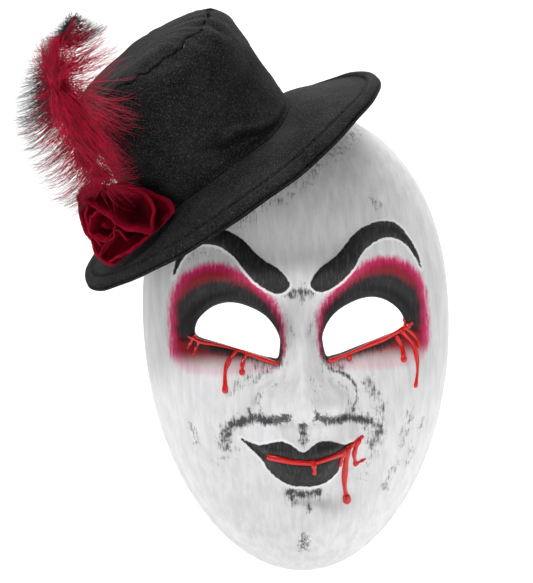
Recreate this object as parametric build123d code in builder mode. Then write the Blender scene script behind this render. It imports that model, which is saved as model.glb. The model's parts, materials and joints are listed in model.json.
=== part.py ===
from build123d import *
from math import cos, exp, pi, radians, sin, sqrt
import os

# A full-face masquerade mask with a small felt top hat, a fabric rose and a plume.
# Millimetres. +Z is up, the face looks along -Y, +X is to the right of someone who looks
# at the face. The origin is the middle of the rim plane, at the middle of the height.

# ---- Driving dimensions: the face shell ----
face_width = 164
crown_rise = 122            # rim top above the origin
chin_drop = 125             # rim bottom below the origin
widest_level = 12           # height of the widest level of the rim
face_depth = 62             # depth of the plain dome under the features
jaw_taper = 0.15            # how much the rim narrows to the chin, against an ellipse
forehead_fullness = 2.2     # power of the rim's curve over the forehead; 2 is an ellipse
shell_thickness = 2.5
surface_step = 4            # spacing of the points that shape the face
face_reach = 130            # farther out than any point of the face
gel_height = 1.6            # how far the painted gel trails stand out

# ---- Driving dimensions: the hat ----
hat_lean = 33.5             # degrees, towards -X
hat_tilt = 15               # degrees, towards the viewer
hat_seat = (-36.2, -22, 91.4)
crown_radius = 49.7         # at the brim
crown_height = 79
crown_taper = 1.48          # degrees
felt = 1.2                  # one layer of brim felt
crown_felt = 2.2
stiffener = 1.0
brim_half_length = 94.5
brim_half_width = 78
brim_edge_level = -6        # brim edge below the crown seat
brim_core = 1.2
ridge_height = 10           # the brim rides this far up over the top of the face
hem_width = 7
seam_height = 0.5
stitch_count = 96
stitch_length = 3.2
stitch_width = 0.8
stitch_lift = 0.06          # the thread lies on the nap of the felt
glue_angles = (165, 195, 12)            # degrees round the crown
glue_ring = 52              # distance of the glue pads from the hat's axis
glue_radius = 4.5

# ---- Driving dimensions: rose and plume ----
rose_front = (-62, -36, 23)             # middle of the open face of the rose, in the hat's frame
rose_facing = (-0.45, -0.80, 0.35)
rose_depth = 18
rose_radius = 24
petal_thickness = 1.0
plume_root = (-58, -27.5, 53)           # in the hat's frame
plume_facing = 235                      # degrees round the crown
plume_lean = 18                         # degrees, from the crown's own lean back to upright
plume_thickness = 2.4
quill_thickness = 1.0

# ---- Driving dimensions: the strap ----
strap_width = 10
strap_thickness = 1.5
strap_pivot_y = -9
strap_pivot_x = 67
strap_pivot_z = 14
strap_drop = 104            # lowest point of the hanging strap below the origin
pin_radius = 1.7
pin_clearance = 0.3

os.makedirs("parts", exist_ok=True)


def finish(builder, name):
    """Labels one finished piece and writes it."""
    builder.part.label = name
    export_step(builder.part, f"parts/{name}.step")


# ---- The relief of the face ----
# Each swelling or hollow: x, z, height, spread in x, spread in z; pairs are mirrored.
single_forms = [
    (0, 60, 3, 45, 30),         # forehead
    (0, -8, 7, 7.5, 26),        # ridge of the nose
    (0, -34, 15, 8.5, 9.5),     # tip of the nose
    (0, -56, 6, 22, 10),        # round of the mouth
    (0, -55, 4, 18, 4.5),       # upper lip
    (0, -70, 5, 14, 5),         # lower lip
    (0, -82, -3, 14, 5),        # dip under the lip
    (0, -101, 13, 18, 13),      # chin
]
paired_forms = [
    (27, 32, 5, 18, 8),         # brow ridge
    (33, 6, -11, 17, 12.5),     # eye socket
    (9, 8, -4.5, 6, 12),        # inner corner of the eye
    (47, -28, 5, 18, 18),       # cheekbone
    (13, -33, 9, 6, 6),         # wing of the nose
    (28, -60, -2.5, 9, 14),     # dip beside the mouth
]


def bell(x, z, form, side):
    """Height that one form adds at a point of the face."""
    form_x, form_z, height, spread_x, spread_z = form
    across = (x - side * form_x) / spread_x
    along = (z - form_z) / spread_z
    return height * exp(-(across**2 + along**2) / 2)


def rim_share(x, z, inset=0):
    """Distance from the middle of the face, 1 on the rim outline moved in by inset."""
    rise = z - widest_level
    across = abs(x) / (face_width / 2 - inset)
    if rise > 0:
        up = rise / (crown_rise - widest_level - inset)
        return (across**forehead_fullness + up**forehead_fullness) ** (1 / forehead_fullness)
    down = -rise / (chin_drop + widest_level - inset)
    return sqrt((across / (1 - jaw_taper * down**3)) ** 2 + down**2)


def face_level(x, z, inset=0):
    """How far the outer surface of the shell stands out; with an inset, the inner surface."""
    share = rim_share(x, z, inset) / 1.02
    steepest = min(share, 0.93)
    dome = sqrt(1 - steepest**2.5)
    fall = 1.25 * steepest**1.5 / dome
    level = (face_depth - inset) * (dome - fall * (share - steepest))
    relief = sum(bell(x, z, form, 1) for form in single_forms)
    relief += sum(bell(x, z, form, side) for form in paired_forms for side in (1, -1))
    fade = max(0, min(1, (1 - share) / 0.25))
    return level + relief * fade * fade * (3 - 2 * fade)


def face_surface(inset):
    """The curved sheet that carries face_level, wider than the rim on every side."""
    across = range(-84, 85, surface_step)
    up = range(-128, 129, surface_step)
    points = [[(x, -face_level(x, z, inset), z) for z in up] for x in across]
    return Face.make_surface_from_array_of_points(points, tol=0.1)


def rim_outline(inset):
    """Points round the rim, moved in by inset, for a closed spline."""
    points = []
    for step in range(36):
        angle = 2 * pi * step / 36
        x, rise = cos(angle), sin(angle)
        reach = 1 / rim_share(x, widest_level + rise, inset)
        points.append((x * reach, widest_level + rise * reach))
    return points


rim_plane = Plane(origin=(0, 0, 0), x_dir=(1, 0, 0), z_dir=(0, -1, 0))
outer_surface = face_surface(0)
inner_surface = face_surface(shell_thickness)

# Outer corner, over the top to the inner corner, and back along the lower lid.
eye_outline = [
    (54.4, 6.5), (49.5, 15), (38.5, 20), (27, 17.8), (17, 11.5),
    (11.3, 1.5), (12.6, -9), (20, -7.9), (35.5, -2.8), (49, 2),
]

# ---- Face shell ----
with BuildPart() as shell_body:
    with BuildSketch(rim_plane):
        with BuildLine():
            Spline(*rim_outline(0), periodic=True)
        make_face()
    extrude(amount=face_reach)
    split(bisect_by=outer_surface, keep=Keep.BOTTOM)

with BuildPart() as face_cavity:
    with BuildSketch(rim_plane.offset(-1)):
        with BuildLine():
            Spline(*rim_outline(shell_thickness), periodic=True)
        make_face()
    extrude(amount=face_reach)
    split(bisect_by=inner_surface, keep=Keep.BOTTOM)

with BuildPart() as mask_shell:
    add(shell_body.part)
    add(face_cavity.part, mode=Mode.SUBTRACT)
    for side in (1, -1):
        with BuildSketch(rim_plane):
            with BuildLine():
                Spline(*[(side * x, z) for x, z in eye_outline], periodic=True)
            make_face()
        extrude(amount=face_reach, mode=Mode.SUBTRACT)
finish(mask_shell, "mask_shell")


# ---- Raised gel trails on the face ----
def gel_trail(trails, drops):
    """Beads of one thickness on the shell: trails are (width, points), drops (x, z, radius)."""
    with BuildPart() as gel:
        with BuildSketch(rim_plane.offset(20)):
            for width, points in trails:
                with BuildLine():
                    Spline(*points)
                trace(line_width=width)
            for x, z, radius in drops:
                with Locations((x, z)):
                    Circle(radius)
        extrude(amount=80)
        split(bisect_by=outer_surface.moved(Location((0, -gel_height, 0))), keep=Keep.BOTTOM)
        split(bisect_by=outer_surface, keep=Keep.TOP)
    return gel


gel_left_eye = gel_trail(
    [
        (1.8, [(-57, 3), (-45, -2), (-33, -6), (-22, -10), (-13, -12.5)]),
        (1.9, [(-35, -6), (-39, -11), (-40, -16), (-39.5, -25)]),
        (1.8, [(-29, -7), (-31, -12), (-31, -16.5)]),
        (1.5, [(-55, 3), (-58.5, -3)]),
    ],
    [(-39.5, -25.5, 2.2), (-31, -17.5, 2.1), (-58.5, -3.5, 1.2)],
)
finish(gel_left_eye, "gel_left_eye")

gel_right_eye = gel_trail(
    [
        (1.8, [(13.5, -12.5), (22, -10), (35, -6), (46, -2), (54, 3)]),
        (1.9, [(50, -1.5), (52.5, -7), (52.5, -13)]),
        (1.9, [(53, 0), (58, -5), (60, -12), (60, -19), (58.5, -27)]),
        (1.5, [(54, 2), (59.5, -3), (61, -8)]),
    ],
    [(52.5, -13.5, 2.1), (58.5, -27.5, 1.7), (55, 3, 2.2), (24, -11, 1.9)],
)
finish(gel_right_eye, "gel_right_eye")

gel_mouth = gel_trail(
    [
        (3.4, [(-18.5, -60.5), (-7, -63), (4, -63), (14, -60.5), (22, -57), (29, -53)]),
        (2.4, [(3.5, -63), (3.8, -68.5)]),
        (2.8, [(21, -58), (20, -68), (19.5, -76), (21, -85)]),
        (2.4, [(27, -55), (24.5, -60), (26, -66.5), (31, -63.5)]),
    ],
    [(21, -86, 2.7), (3.8, -69, 1.7), (19, -66, 2.2)],
)
finish(gel_mouth, "gel_mouth")

# ---- Hat frame: seat of the crown, sideways along the brim, and up through the crown ----
lean = radians(hat_lean)
tilt = radians(hat_tilt)
hat = Plane(
    origin=hat_seat,
    x_dir=(cos(lean), 0, sin(lean)),
    z_dir=(-sin(lean) * cos(tilt), -sin(tilt), cos(lean) * cos(tilt)),
)


def brim_level(u, w):
    """Height of the brim's upper side: a flat oval edge that rises to a saddle at the crown."""
    edge_share = (u / brim_half_length) ** 2 + (w / brim_half_width) ** 2
    front_share = w * w / (u * u + w * w + 200)
    ridge = ridge_height * exp(-(((u - 52) / 15) ** 2 + (w / 32) ** 2) / 2)
    return brim_edge_level + (8.3 + 18.6 * front_share) * (1 - edge_share) + ridge


def brim_surface(drop):
    """The brim's upper side lowered by drop."""
    span = range(-100, 101, 8)
    points = [
        [hat.from_local_coords((u, w, brim_level(u, w) - drop)) for w in span] for u in span
    ]
    return Face.make_surface_from_array_of_points(points)


def brim_normal(u, w):
    """Direction square to the brim's upper side."""
    slope_u = (brim_level(u + 0.5, w) - brim_level(u - 0.5, w)) * hat.x_dir
    slope_w = (brim_level(u, w + 0.5) - brim_level(u, w - 0.5)) * hat.y_dir
    return hat.z_dir - slope_u - slope_w


brim_top = brim_surface(0)
crown_inner = crown_radius - crown_felt
brim_depth = felt + brim_core + felt


def brim_layer(inset, upper, lower, hole=crown_inner):
    """One layer of the brim between two depths, its outer edge moved in by inset."""
    with BuildPart() as layer:
        with BuildSketch(hat.offset(-30)):
            Ellipse(brim_half_length - inset, brim_half_width - inset)
            Circle(hole, mode=Mode.SUBTRACT)
        extrude(amount=60)
        split(bisect_by=brim_surface(upper), keep=Keep.BOTTOM)
        split(bisect_by=brim_surface(lower), keep=Keep.TOP)
    return layer


# ---- Brim ----
brim_top_felt = brim_layer(0, 0, felt)
finish(brim_top_felt, "brim_top_felt")

brim_foam_core = brim_layer(hem_width, felt, felt + brim_core)
finish(brim_foam_core, "brim_foam_core")

# The under felt fills the hem, outside the foam core.
brim_under_felt = brim_layer(0, felt, brim_depth)
with brim_under_felt:
    add(brim_layer(hem_width, felt, felt + brim_core).part, mode=Mode.SUBTRACT)
finish(brim_under_felt, "brim_under_felt")

# Running stitches through both felts, along the inside of the hem.
stitch_spots = []
for number in range(stitch_count):
    angle = 2 * pi * number / stitch_count
    u = (brim_half_length - hem_width) * cos(angle)
    w = (brim_half_width - hem_width) * sin(angle)
    heading = hat.y_dir * brim_half_width * cos(angle) - hat.x_dir * brim_half_length * sin(angle)
    spot = hat.from_local_coords((u, w, brim_level(u, w) + stitch_lift))
    stitch_spots.append(Plane(origin=spot, x_dir=heading, z_dir=brim_normal(u, w)))

with BuildPart() as brim_topstitch:
    for spot in stitch_spots:
        with BuildSketch(spot):
            RectangleRounded(stitch_length, stitch_width, 0.3 * stitch_width)
    extrude(amount=seam_height)
finish(brim_topstitch, "brim_topstitch")

# ---- Crown ----
crown_foot = -12
tip_level = crown_height - crown_felt


def crown_tube(outer, inner, top):
    """A tapered tube that stands on the brim and ends at top."""
    with BuildPart() as tube:
        with BuildSketch(hat.offset(crown_foot)):
            Circle(outer)
        extrude(amount=top - crown_foot, taper=crown_taper)
        with BuildSketch(hat.offset(crown_foot)):
            Circle(inner)
        extrude(amount=top - crown_foot, taper=crown_taper, mode=Mode.SUBTRACT)
        split(bisect_by=brim_top, keep=Keep.TOP)
    return tube


crown_side_felt = crown_tube(crown_radius, crown_inner, tip_level)
finish(crown_side_felt, "crown_side_felt")

crown_stiffener = crown_tube(crown_inner, crown_inner - stiffener, tip_level)
finish(crown_stiffener, "crown_stiffener")

shrink = (tip_level - crown_foot) * sin(radians(crown_taper))
tip_radius = crown_radius - shrink

with BuildPart() as crown_tip_felt:
    with BuildSketch(hat.offset(tip_level)):
        Circle(tip_radius)
    extrude(amount=crown_felt)
    fillet(crown_tip_felt.edges().group_by(SortBy.LENGTH)[-1], radius=0.9)
finish(crown_tip_felt, "crown_tip_felt")

with BuildPart() as tip_stiffener:
    with BuildSketch(hat.offset(tip_level - stiffener)):
        Circle(tip_radius - crown_felt - stiffener - 0.1)
    extrude(amount=stiffener)
finish(tip_stiffener, "tip_stiffener")

with BuildPart() as crown_seam_thread:
    with BuildSketch(hat.offset(crown_height)):
        Circle(tip_radius - 2.5)
        Circle(tip_radius - 3.5, mode=Mode.SUBTRACT)
    extrude(amount=seam_height)
finish(crown_seam_thread, "crown_seam_thread")


# ---- Hot-melt glue between the face and the underside of the hat ----
with BuildPart() as hat_glue:
    for angle in glue_angles:
        centre = (glue_ring * cos(radians(angle)), glue_ring * sin(radians(angle)))
        with BuildSketch(hat.offset(-26)):
            with Locations(centre):
                Circle(glue_radius)
        extrude(amount=40)
    split(bisect_by=brim_surface(brim_depth), keep=Keep.BOTTOM)
    split(bisect_by=outer_surface, keep=Keep.TOP)
finish(hat_glue, "hat_glue")

# ---- Rose ----
facing = hat.from_local_coords(rose_facing) - hat.from_local_coords((0, 0, 0))
rose_middle = hat.from_local_coords(rose_front)
rose = Plane(origin=rose_middle - facing.normalized() * rose_depth, z_dir=facing.normalized())

with BuildPart() as rose_base:
    with BuildSketch(rose.offset(-2.5)):
        Circle(7)
    extrude(amount=2.5)
finish(rose_base, "rose_base")

with BuildPart() as rose_bud:
    with BuildSketch(Plane(origin=rose.origin, x_dir=rose.x_dir, z_dir=-rose.y_dir)):
        with BuildLine():
            Line((0, 0), (2.4, 0))
            Spline((2.4, 0), (4.6, 8), (3.2, 15), (0, 17.5))
            Line((0, 17.5), (0, 0))
        make_face()
    revolve(axis=Axis(rose.origin, rose.z_dir))
finish(rose_bud, "rose_bud")


def petal(foot, lip, height, start, sweep):
    """A curved leaf of a bowl: its foot and lip radii, height, first angle and sweep."""
    upright = Plane(origin=rose.origin, x_dir=rose.x_dir, z_dir=-rose.y_dir)
    profile = Plane(upright.location * Location((0, 0, 0), (0, start, 0)))
    belly = (foot + 0.62 * (lip - foot), 0.45 * height)
    with BuildPart() as leaf:
        with BuildSketch(profile):
            with BuildLine():
                Spline((foot, 0), belly, (lip, height))
                Line((lip, height), (lip - petal_thickness, height))
                Spline(
                    (lip - petal_thickness, height),
                    (belly[0] - petal_thickness, belly[1]),
                    (foot - petal_thickness, 0),
                )
                Line((foot - petal_thickness, 0), (foot, 0))
            make_face()
        revolve(axis=Axis(rose.origin, rose.z_dir), revolution_arc=sweep)
    return leaf


petal_rings = [
    ("inner", 3, 4.2, 9.5, 17),
    ("middle", 4, 5.6, 17, 16.5),
    ("outer", 5, 7, rose_radius, 14),
]
for ring, count, foot, lip, height in petal_rings:
    pitch = 360 / count
    for number in range(count):
        leaf = petal(foot, lip, height, pitch * (number + 0.5 * (count % 2)), pitch - 5)
        finish(leaf, f"rose_{ring}_petal_{number + 1}")

# ---- Plume: a crimson feather in front of a wider black one, bound at the root ----
turn = radians(plume_facing)
outward = hat.x_dir * cos(turn) + hat.y_dir * sin(turn)
across = hat.y_dir * cos(turn) - hat.x_dir * sin(turn)
rotation = radians(plume_lean)
plume = Plane(
    origin=hat.from_local_coords(plume_root),
    x_dir=across * cos(rotation) - hat.z_dir * sin(rotation),
    z_dir=outward,
)


def plume_piece(points, start, thickness):
    """A flat piece in the plume's plane, bounded by a closed smooth outline."""
    with BuildPart() as piece:
        with BuildSketch(plume.offset(start)):
            with BuildLine():
                Spline(*points, periodic=True)
            make_face()
        extrude(amount=thickness)
    return piece


def quill(length, start):
    """A flat shaft that tapers from the root to its tip."""
    with BuildPart() as shaft:
        with BuildSketch(plume.offset(start)):
            Polygon((-0.9, -4), (0.9, -4), (0.3, length), (-0.3, length), align=None)
        extrude(amount=quill_thickness)
    return shaft


black_vane = plume_piece(
    [(0, 8), (-20, 22), (-31, 50), (-26, 78), (-4, 104), (10, 96), (8, 50)],
    quill_thickness,
    plume_thickness,
)
finish(black_vane, "black_feather_vane")
black_quill = quill(96, 0)
finish(black_quill, "black_feather_quill")

crimson_start = quill_thickness + plume_thickness
crimson_vane = plume_piece(
    [(0, 6), (-10, 24), (-14, 52), (-4, 84), (14, 88), (24, 66), (20, 44), (9, 22)],
    crimson_start,
    plume_thickness,
)
finish(crimson_vane, "crimson_feather_vane")
crimson_quill = quill(80, crimson_start + plume_thickness)
finish(crimson_quill, "crimson_feather_quill")

binding_depth = 2 * (quill_thickness + plume_thickness) + 1.6
with BuildPart() as plume_binding:
    with BuildSketch(plume.offset(-0.8)):
        with Locations((0, -0.5)):
            RectangleRounded(6, 9, 2)
    extrude(amount=binding_depth)
    add(black_quill.part, mode=Mode.SUBTRACT)
    add(crimson_quill.part, mode=Mode.SUBTRACT)
finish(plume_binding, "plume_binding")

# The holder is glued to the crown and carries the binding with a small gap.
with BuildPart() as plume_holder:
    with BuildSketch(plume.offset(-0.8 - pin_clearance)):
        Circle(5)
    extrude(amount=-12)
    with BuildSketch(hat.offset(crown_foot)):
        Circle(crown_radius)
    extrude(amount=crown_height - crown_foot, taper=crown_taper, mode=Mode.SUBTRACT)
finish(plume_holder, "plume_holder")

# ---- Head strap: flat elastic that hangs in a U behind the face ----
strap_points = [(67, 14), (65.5, -12), (58, -50), (38, -86), (0, -strap_drop)]
strap_path = strap_points + [(-x, z) for x, z in reversed(strap_points[:-1])]
pivot_plane = Plane(origin=(0, strap_pivot_y, strap_pivot_z), x_dir=(0, 1, 0), z_dir=(1, 0, 0))

with BuildPart() as head_strap:
    with BuildSketch(rim_plane.offset(-strap_pivot_y - strap_width / 2)):
        with BuildLine():
            Spline(*strap_path, tangents=[(0, -1), (0, 1)])
        trace(line_width=strap_thickness)
    extrude(amount=strap_width)
    for side in (1, -1):
        start = side * strap_pivot_x - strap_thickness / 2
        with BuildSketch(pivot_plane.offset(start)):
            Circle(strap_width / 2)
        extrude(amount=strap_thickness)
        with BuildSketch(pivot_plane.offset(start)):
            Circle(pin_radius + pin_clearance)
        extrude(amount=strap_thickness, mode=Mode.SUBTRACT)
finish(head_strap, "head_strap")

strap_gap = 0.6
tab_start = strap_pivot_x + strap_thickness / 2 + strap_gap
head_end = strap_pivot_x - strap_thickness / 2 - strap_gap
for side, name in ((1, "right"), (-1, "left")):
    with BuildPart() as strap_pin:
        with BuildSketch(pivot_plane.offset(side * head_end)):
            Circle(3.4)
        extrude(amount=-side * 1.2)
        with BuildSketch(pivot_plane.offset(side * head_end)):
            Circle(pin_radius)
        extrude(amount=side * (tab_start + 5 - head_end))
    finish(strap_pin, f"strap_pin_{name}")

    with BuildPart() as strap_tab:
        with BuildSketch(pivot_plane.offset(side * tab_start)):
            RectangleRounded(12, 14, 2)
        extrude(amount=side * 20)
        add(face_cavity.part, mode=Mode.INTERSECT)
        add(strap_pin.part, mode=Mode.SUBTRACT)
    finish(strap_tab, f"strap_tab_{name}")
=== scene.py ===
import json
import math

import bmesh
import bpy
import numpy as np
from mathutils import Matrix, Vector, geometry, noise


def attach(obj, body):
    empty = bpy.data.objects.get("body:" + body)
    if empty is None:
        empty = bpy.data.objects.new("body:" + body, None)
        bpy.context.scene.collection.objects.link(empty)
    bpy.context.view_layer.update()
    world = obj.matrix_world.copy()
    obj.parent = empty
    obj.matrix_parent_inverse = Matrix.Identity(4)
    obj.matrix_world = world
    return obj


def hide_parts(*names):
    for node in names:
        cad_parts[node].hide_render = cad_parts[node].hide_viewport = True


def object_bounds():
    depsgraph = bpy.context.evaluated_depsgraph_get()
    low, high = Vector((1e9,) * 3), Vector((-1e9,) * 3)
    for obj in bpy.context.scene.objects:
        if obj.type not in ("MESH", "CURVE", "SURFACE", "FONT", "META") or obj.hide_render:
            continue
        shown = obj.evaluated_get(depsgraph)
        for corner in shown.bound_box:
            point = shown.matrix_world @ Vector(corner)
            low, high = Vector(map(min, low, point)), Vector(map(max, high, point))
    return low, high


# Masquerade mask with a felt mini top hat, a cloth rose and a feather plume.
# Shapes are worked out in millimetres and put into the meshes in metres.
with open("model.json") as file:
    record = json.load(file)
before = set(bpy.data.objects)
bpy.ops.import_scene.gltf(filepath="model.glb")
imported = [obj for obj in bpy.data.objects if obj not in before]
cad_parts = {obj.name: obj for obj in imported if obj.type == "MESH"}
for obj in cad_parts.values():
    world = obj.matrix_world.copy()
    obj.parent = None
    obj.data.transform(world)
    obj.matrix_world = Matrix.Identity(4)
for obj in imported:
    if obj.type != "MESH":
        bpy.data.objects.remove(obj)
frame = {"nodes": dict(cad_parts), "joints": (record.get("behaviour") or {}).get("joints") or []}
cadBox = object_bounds()
mm = 0.001
farAway = 1e9
tiny = 1e-12
dice = np.random.default_rng(7)


# Camera, light and floor

cameraSetup = {
    "target": (-15.0, 0.0, 25.0),
    "distance": 1200.0,
    "azimuth": -2.0,
    "roll": -2.2,
    "lens": 137.2,
}


# world light on the object and seen behind it, white paper, and the floor's shape in metres
studioForm = {
    "skyLight": 0.17, "skySeen": 0.95, "paperTone": 0.92, "paperGlow": 0.06,
    "floorDrop": 0.03, "halfWidth": 3, "front": -2.5, "bend": 0.5, "wallTop": 2.5,
}
# name, place, aim, size, power
lamps = [
    ("keyLight", (-0.6, -0.72, 1.2), (0, 0, 0.02), 0.30, 13),
    ("fillLight", (1.2, -1.1, 0.15), (0, 0, 0), 0.8, 3.0),
    ("rimLight", (0.5, 0.7, 1.1), (0, 0, 0.1), 0.7, 6),
    ("wallLight", (0, 0.2, 1.6), (0, 1.2, 0.1), 1.2, 22),
]


def placeCamera(setup):
    turn = math.radians(setup["azimuth"])
    back = Vector((math.sin(turn), -math.cos(turn), 0))
    data = bpy.data.cameras.new("camera")
    data.lens = setup["lens"]
    camera = bpy.data.objects.new("camera", data)
    bpy.context.scene.collection.objects.link(camera)
    camera.location = (Vector(setup["target"]) + back * setup["distance"]) * mm
    look = (-back).to_track_quat("-Z", "Y").to_matrix().to_4x4()
    tilt = Matrix.Rotation(math.radians(setup["roll"]), 4, "Z")
    camera.matrix_world = Matrix.Translation(camera.location) @ look @ tilt
    bpy.context.scene.camera = camera


def areaLight(name, spot, aim, size, power):
    data = bpy.data.lights.new(name, "AREA")
    data.shape = "DISK"
    data.size = size
    data.energy = power
    lamp = bpy.data.objects.new(name, data)
    lamp.visible_camera = False
    bpy.context.scene.collection.objects.link(lamp)
    lamp.location = spot
    lamp.rotation_euler = (Vector(aim) - Vector(spot)).to_track_quat("-Z", "Y").to_euler()


def paperMaterial():
    tone = studioForm["paperTone"]
    material, shader = newMaterial("floorPaper", {
        "Base Color": (tone, tone, tone), "Roughness": 0.9,
        "Emission Color": (1, 1, 1), "Emission Strength": studioForm["paperGlow"],
    })
    # seen from behind, the backdrop is clear
    nodes = material.node_tree.nodes
    back = shader.node("ShaderNodeNewGeometry").outputs["Backfacing"]
    clear = shader.node("ShaderNodeBsdfTransparent").outputs["BSDF"]
    either = {0: back, 1: nodes["Principled BSDF"].outputs["BSDF"], 2: clear}
    shown = shader.node("ShaderNodeMixShader", either).outputs["Shader"]
    shader.link(shown, nodes["Material Output"].inputs["Surface"])
    return material


def makeFloor():
    # floor that curves up into a backdrop
    bend = studioForm["bend"]
    arc = np.linspace(0.1, 1.57, 12)
    profile = [(studioForm["front"], 0), (bend, 0)]
    profile += [(bend + bend * math.sin(a), bend - bend * math.cos(a)) for a in arc]
    profile += [(2 * bend, studioForm["wallTop"])]
    level = cadBox[0][2] - studioForm["floorDrop"]
    sides = (-studioForm["halfWidth"], studioForm["halfWidth"])
    verts = [(x, y, z + level) for y, z in profile for x in sides]
    faces = [(2 * i, 2 * i + 1, 2 * i + 3, 2 * i + 2) for i in range(len(profile) - 1)]
    return addPiece("floor", verts, faces, paperMaterial())


def placeStudio():
    world = bpy.data.worlds.new("studio")
    bpy.context.scene.world = world
    world.use_nodes = True
    shader = Shader(world.node_tree)
    sky = world.node_tree.nodes["Background"].inputs
    # soft light on the object, and a pale ground behind it from every side
    seen = shader.node("ShaderNodeLightPath").outputs["Is Camera Ray"]
    strength = {"Value": seen, "To Min": studioForm["skyLight"], "To Max": studioForm["skySeen"]}
    shader.put(sky["Color"], (1, 1, 1))
    shader.put(sky["Strength"], shader.node("ShaderNodeMapRange", strength).outputs["Result"])
    for lamp in lamps:
        areaLight(*lamp)
    makeFloor()
    bpy.context.scene.view_settings.view_transform = "Standard"


# Mesh helpers

def addPiece(name, verts, faces, material):
    mesh = bpy.data.meshes.new(name)
    mesh.from_pydata([tuple(v) for v in verts], [], faces)
    mesh.validate()
    mesh.materials.append(material)
    piece = bpy.data.objects.new(name, mesh)
    bpy.context.scene.collection.objects.link(piece)
    smoothFaces(piece)
    return piece


def smoothFaces(piece):
    piece.data.polygons.foreach_set("use_smooth", [True] * len(piece.data.polygons))


def settle(piece, node, body="mask"):
    # the finished piece stands in for its CAD part and moves with its body
    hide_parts(node)
    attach(piece, body)


def thicken(piece, thickness, offset):
    maker = piece.modifiers.new("thickness", "SOLIDIFY")
    maker.thickness = thickness * mm
    maker.offset = offset
    maker.material_offset_rim = 0


def ringTurns(count):
    return [2 * math.pi * k / count for k in range(count)]


def gridFaces(rows, columns, closedRows=False, closedColumns=False):
    faces = []
    for r in range(rows if closedRows else rows - 1):
        for c in range(columns if closedColumns else columns - 1):
            a = r * columns + c
            b = r * columns + (c + 1) % columns
            d = ((r + 1) % rows) * columns + c
            e = ((r + 1) % rows) * columns + (c + 1) % columns
            faces.append((a, b, e, d))
    return faces


def tubeFaces(rows, columns):
    # rings joined to one skin, with a cap on each end
    first = tuple(range(columns))[::-1]
    last = tuple((rows - 1) * columns + k for k in range(columns))
    return gridFaces(rows, columns, False, True) + [first, last]


def outwardNormals(piece):
    work = bmesh.new()
    work.from_mesh(piece.data)
    bmesh.ops.remove_doubles(work, verts=work.verts, dist=1e-6)
    bmesh.ops.recalc_face_normals(work, faces=work.faces)
    work.to_mesh(piece.data)
    work.free()


def bakeModifiers(piece):
    bpy.context.view_layer.update()
    result = bpy.data.meshes.new_from_object(piece.evaluated_get(bpy.context.evaluated_depsgraph_get()))
    piece.modifiers.clear()
    piece.data = result


def curveStep(a, b, c, d, t):
    # from b (t = 0) to c (t = 1), with a before them and d after them
    return 0.5 * (2 * b + (c - a) * t + (2 * a - 5 * b + 4 * c - d) * t**2 + (3 * b - a - 3 * c + d) * t**3)


def roundCurve(points, count):
    # evenly spaced points of an open curve through the given ones
    pts = np.array(points, float)
    pts = np.vstack([2 * pts[0] - pts[1], pts, 2 * pts[-1] - pts[-2]])
    out = []
    spans = len(pts) - 3
    for k in range(count):
        s = k / (count - 1) * spans
        i = min(int(s), spans - 1)
        out.append(curveStep(*pts[i:i + 4], s - i))
    return np.array(out)


def closedCurve(points, perSpan):
    pts = np.array(points, float)
    n = len(pts)
    out = []
    for i in range(n):
        ends = pts[i - 1], pts[i], pts[(i + 1) % n], pts[(i + 2) % n]
        out += [curveStep(*ends, k / perSpan) for k in range(perSpan)]
    return np.array(out)


def spanDistance(x, z, ax, az, bx, bz):
    dx, dz = bx - ax, bz - az
    t = np.clip(((x - ax) * dx + (z - az) * dz) / max(dx * dx + dz * dz, tiny), 0, 1)
    return np.hypot(x - ax - t * dx, z - az - t * dz)


def edgeDistance(x, z, outline):
    # distance to a closed outline, negative inside
    best = np.full(x.shape, farAway)
    inside = np.zeros(x.shape, bool)
    for (ax, az), (bx, bz) in zip(outline, np.roll(outline, -1, 0)):
        best = np.minimum(best, spanDistance(x, z, ax, az, bx, bz))
        crosses = (az > z) != (bz > z)
        inside ^= crosses & (x < ax + (z - az) * (bx - ax) / ((bz - az) or tiny))
    return np.where(inside, -best, best)


def lineDistance(x, z, points):
    best = np.full(np.shape(x), farAway)
    for start, end in zip(points[:-1], points[1:]):
        best = np.minimum(best, spanDistance(x, z, *start, *end))
    return best


def smoothStep(low, high, value):
    t = np.clip((value - low) / (high - low), 0, 1)
    return t * t * (3 - 2 * t)


# Shader helpers

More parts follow.
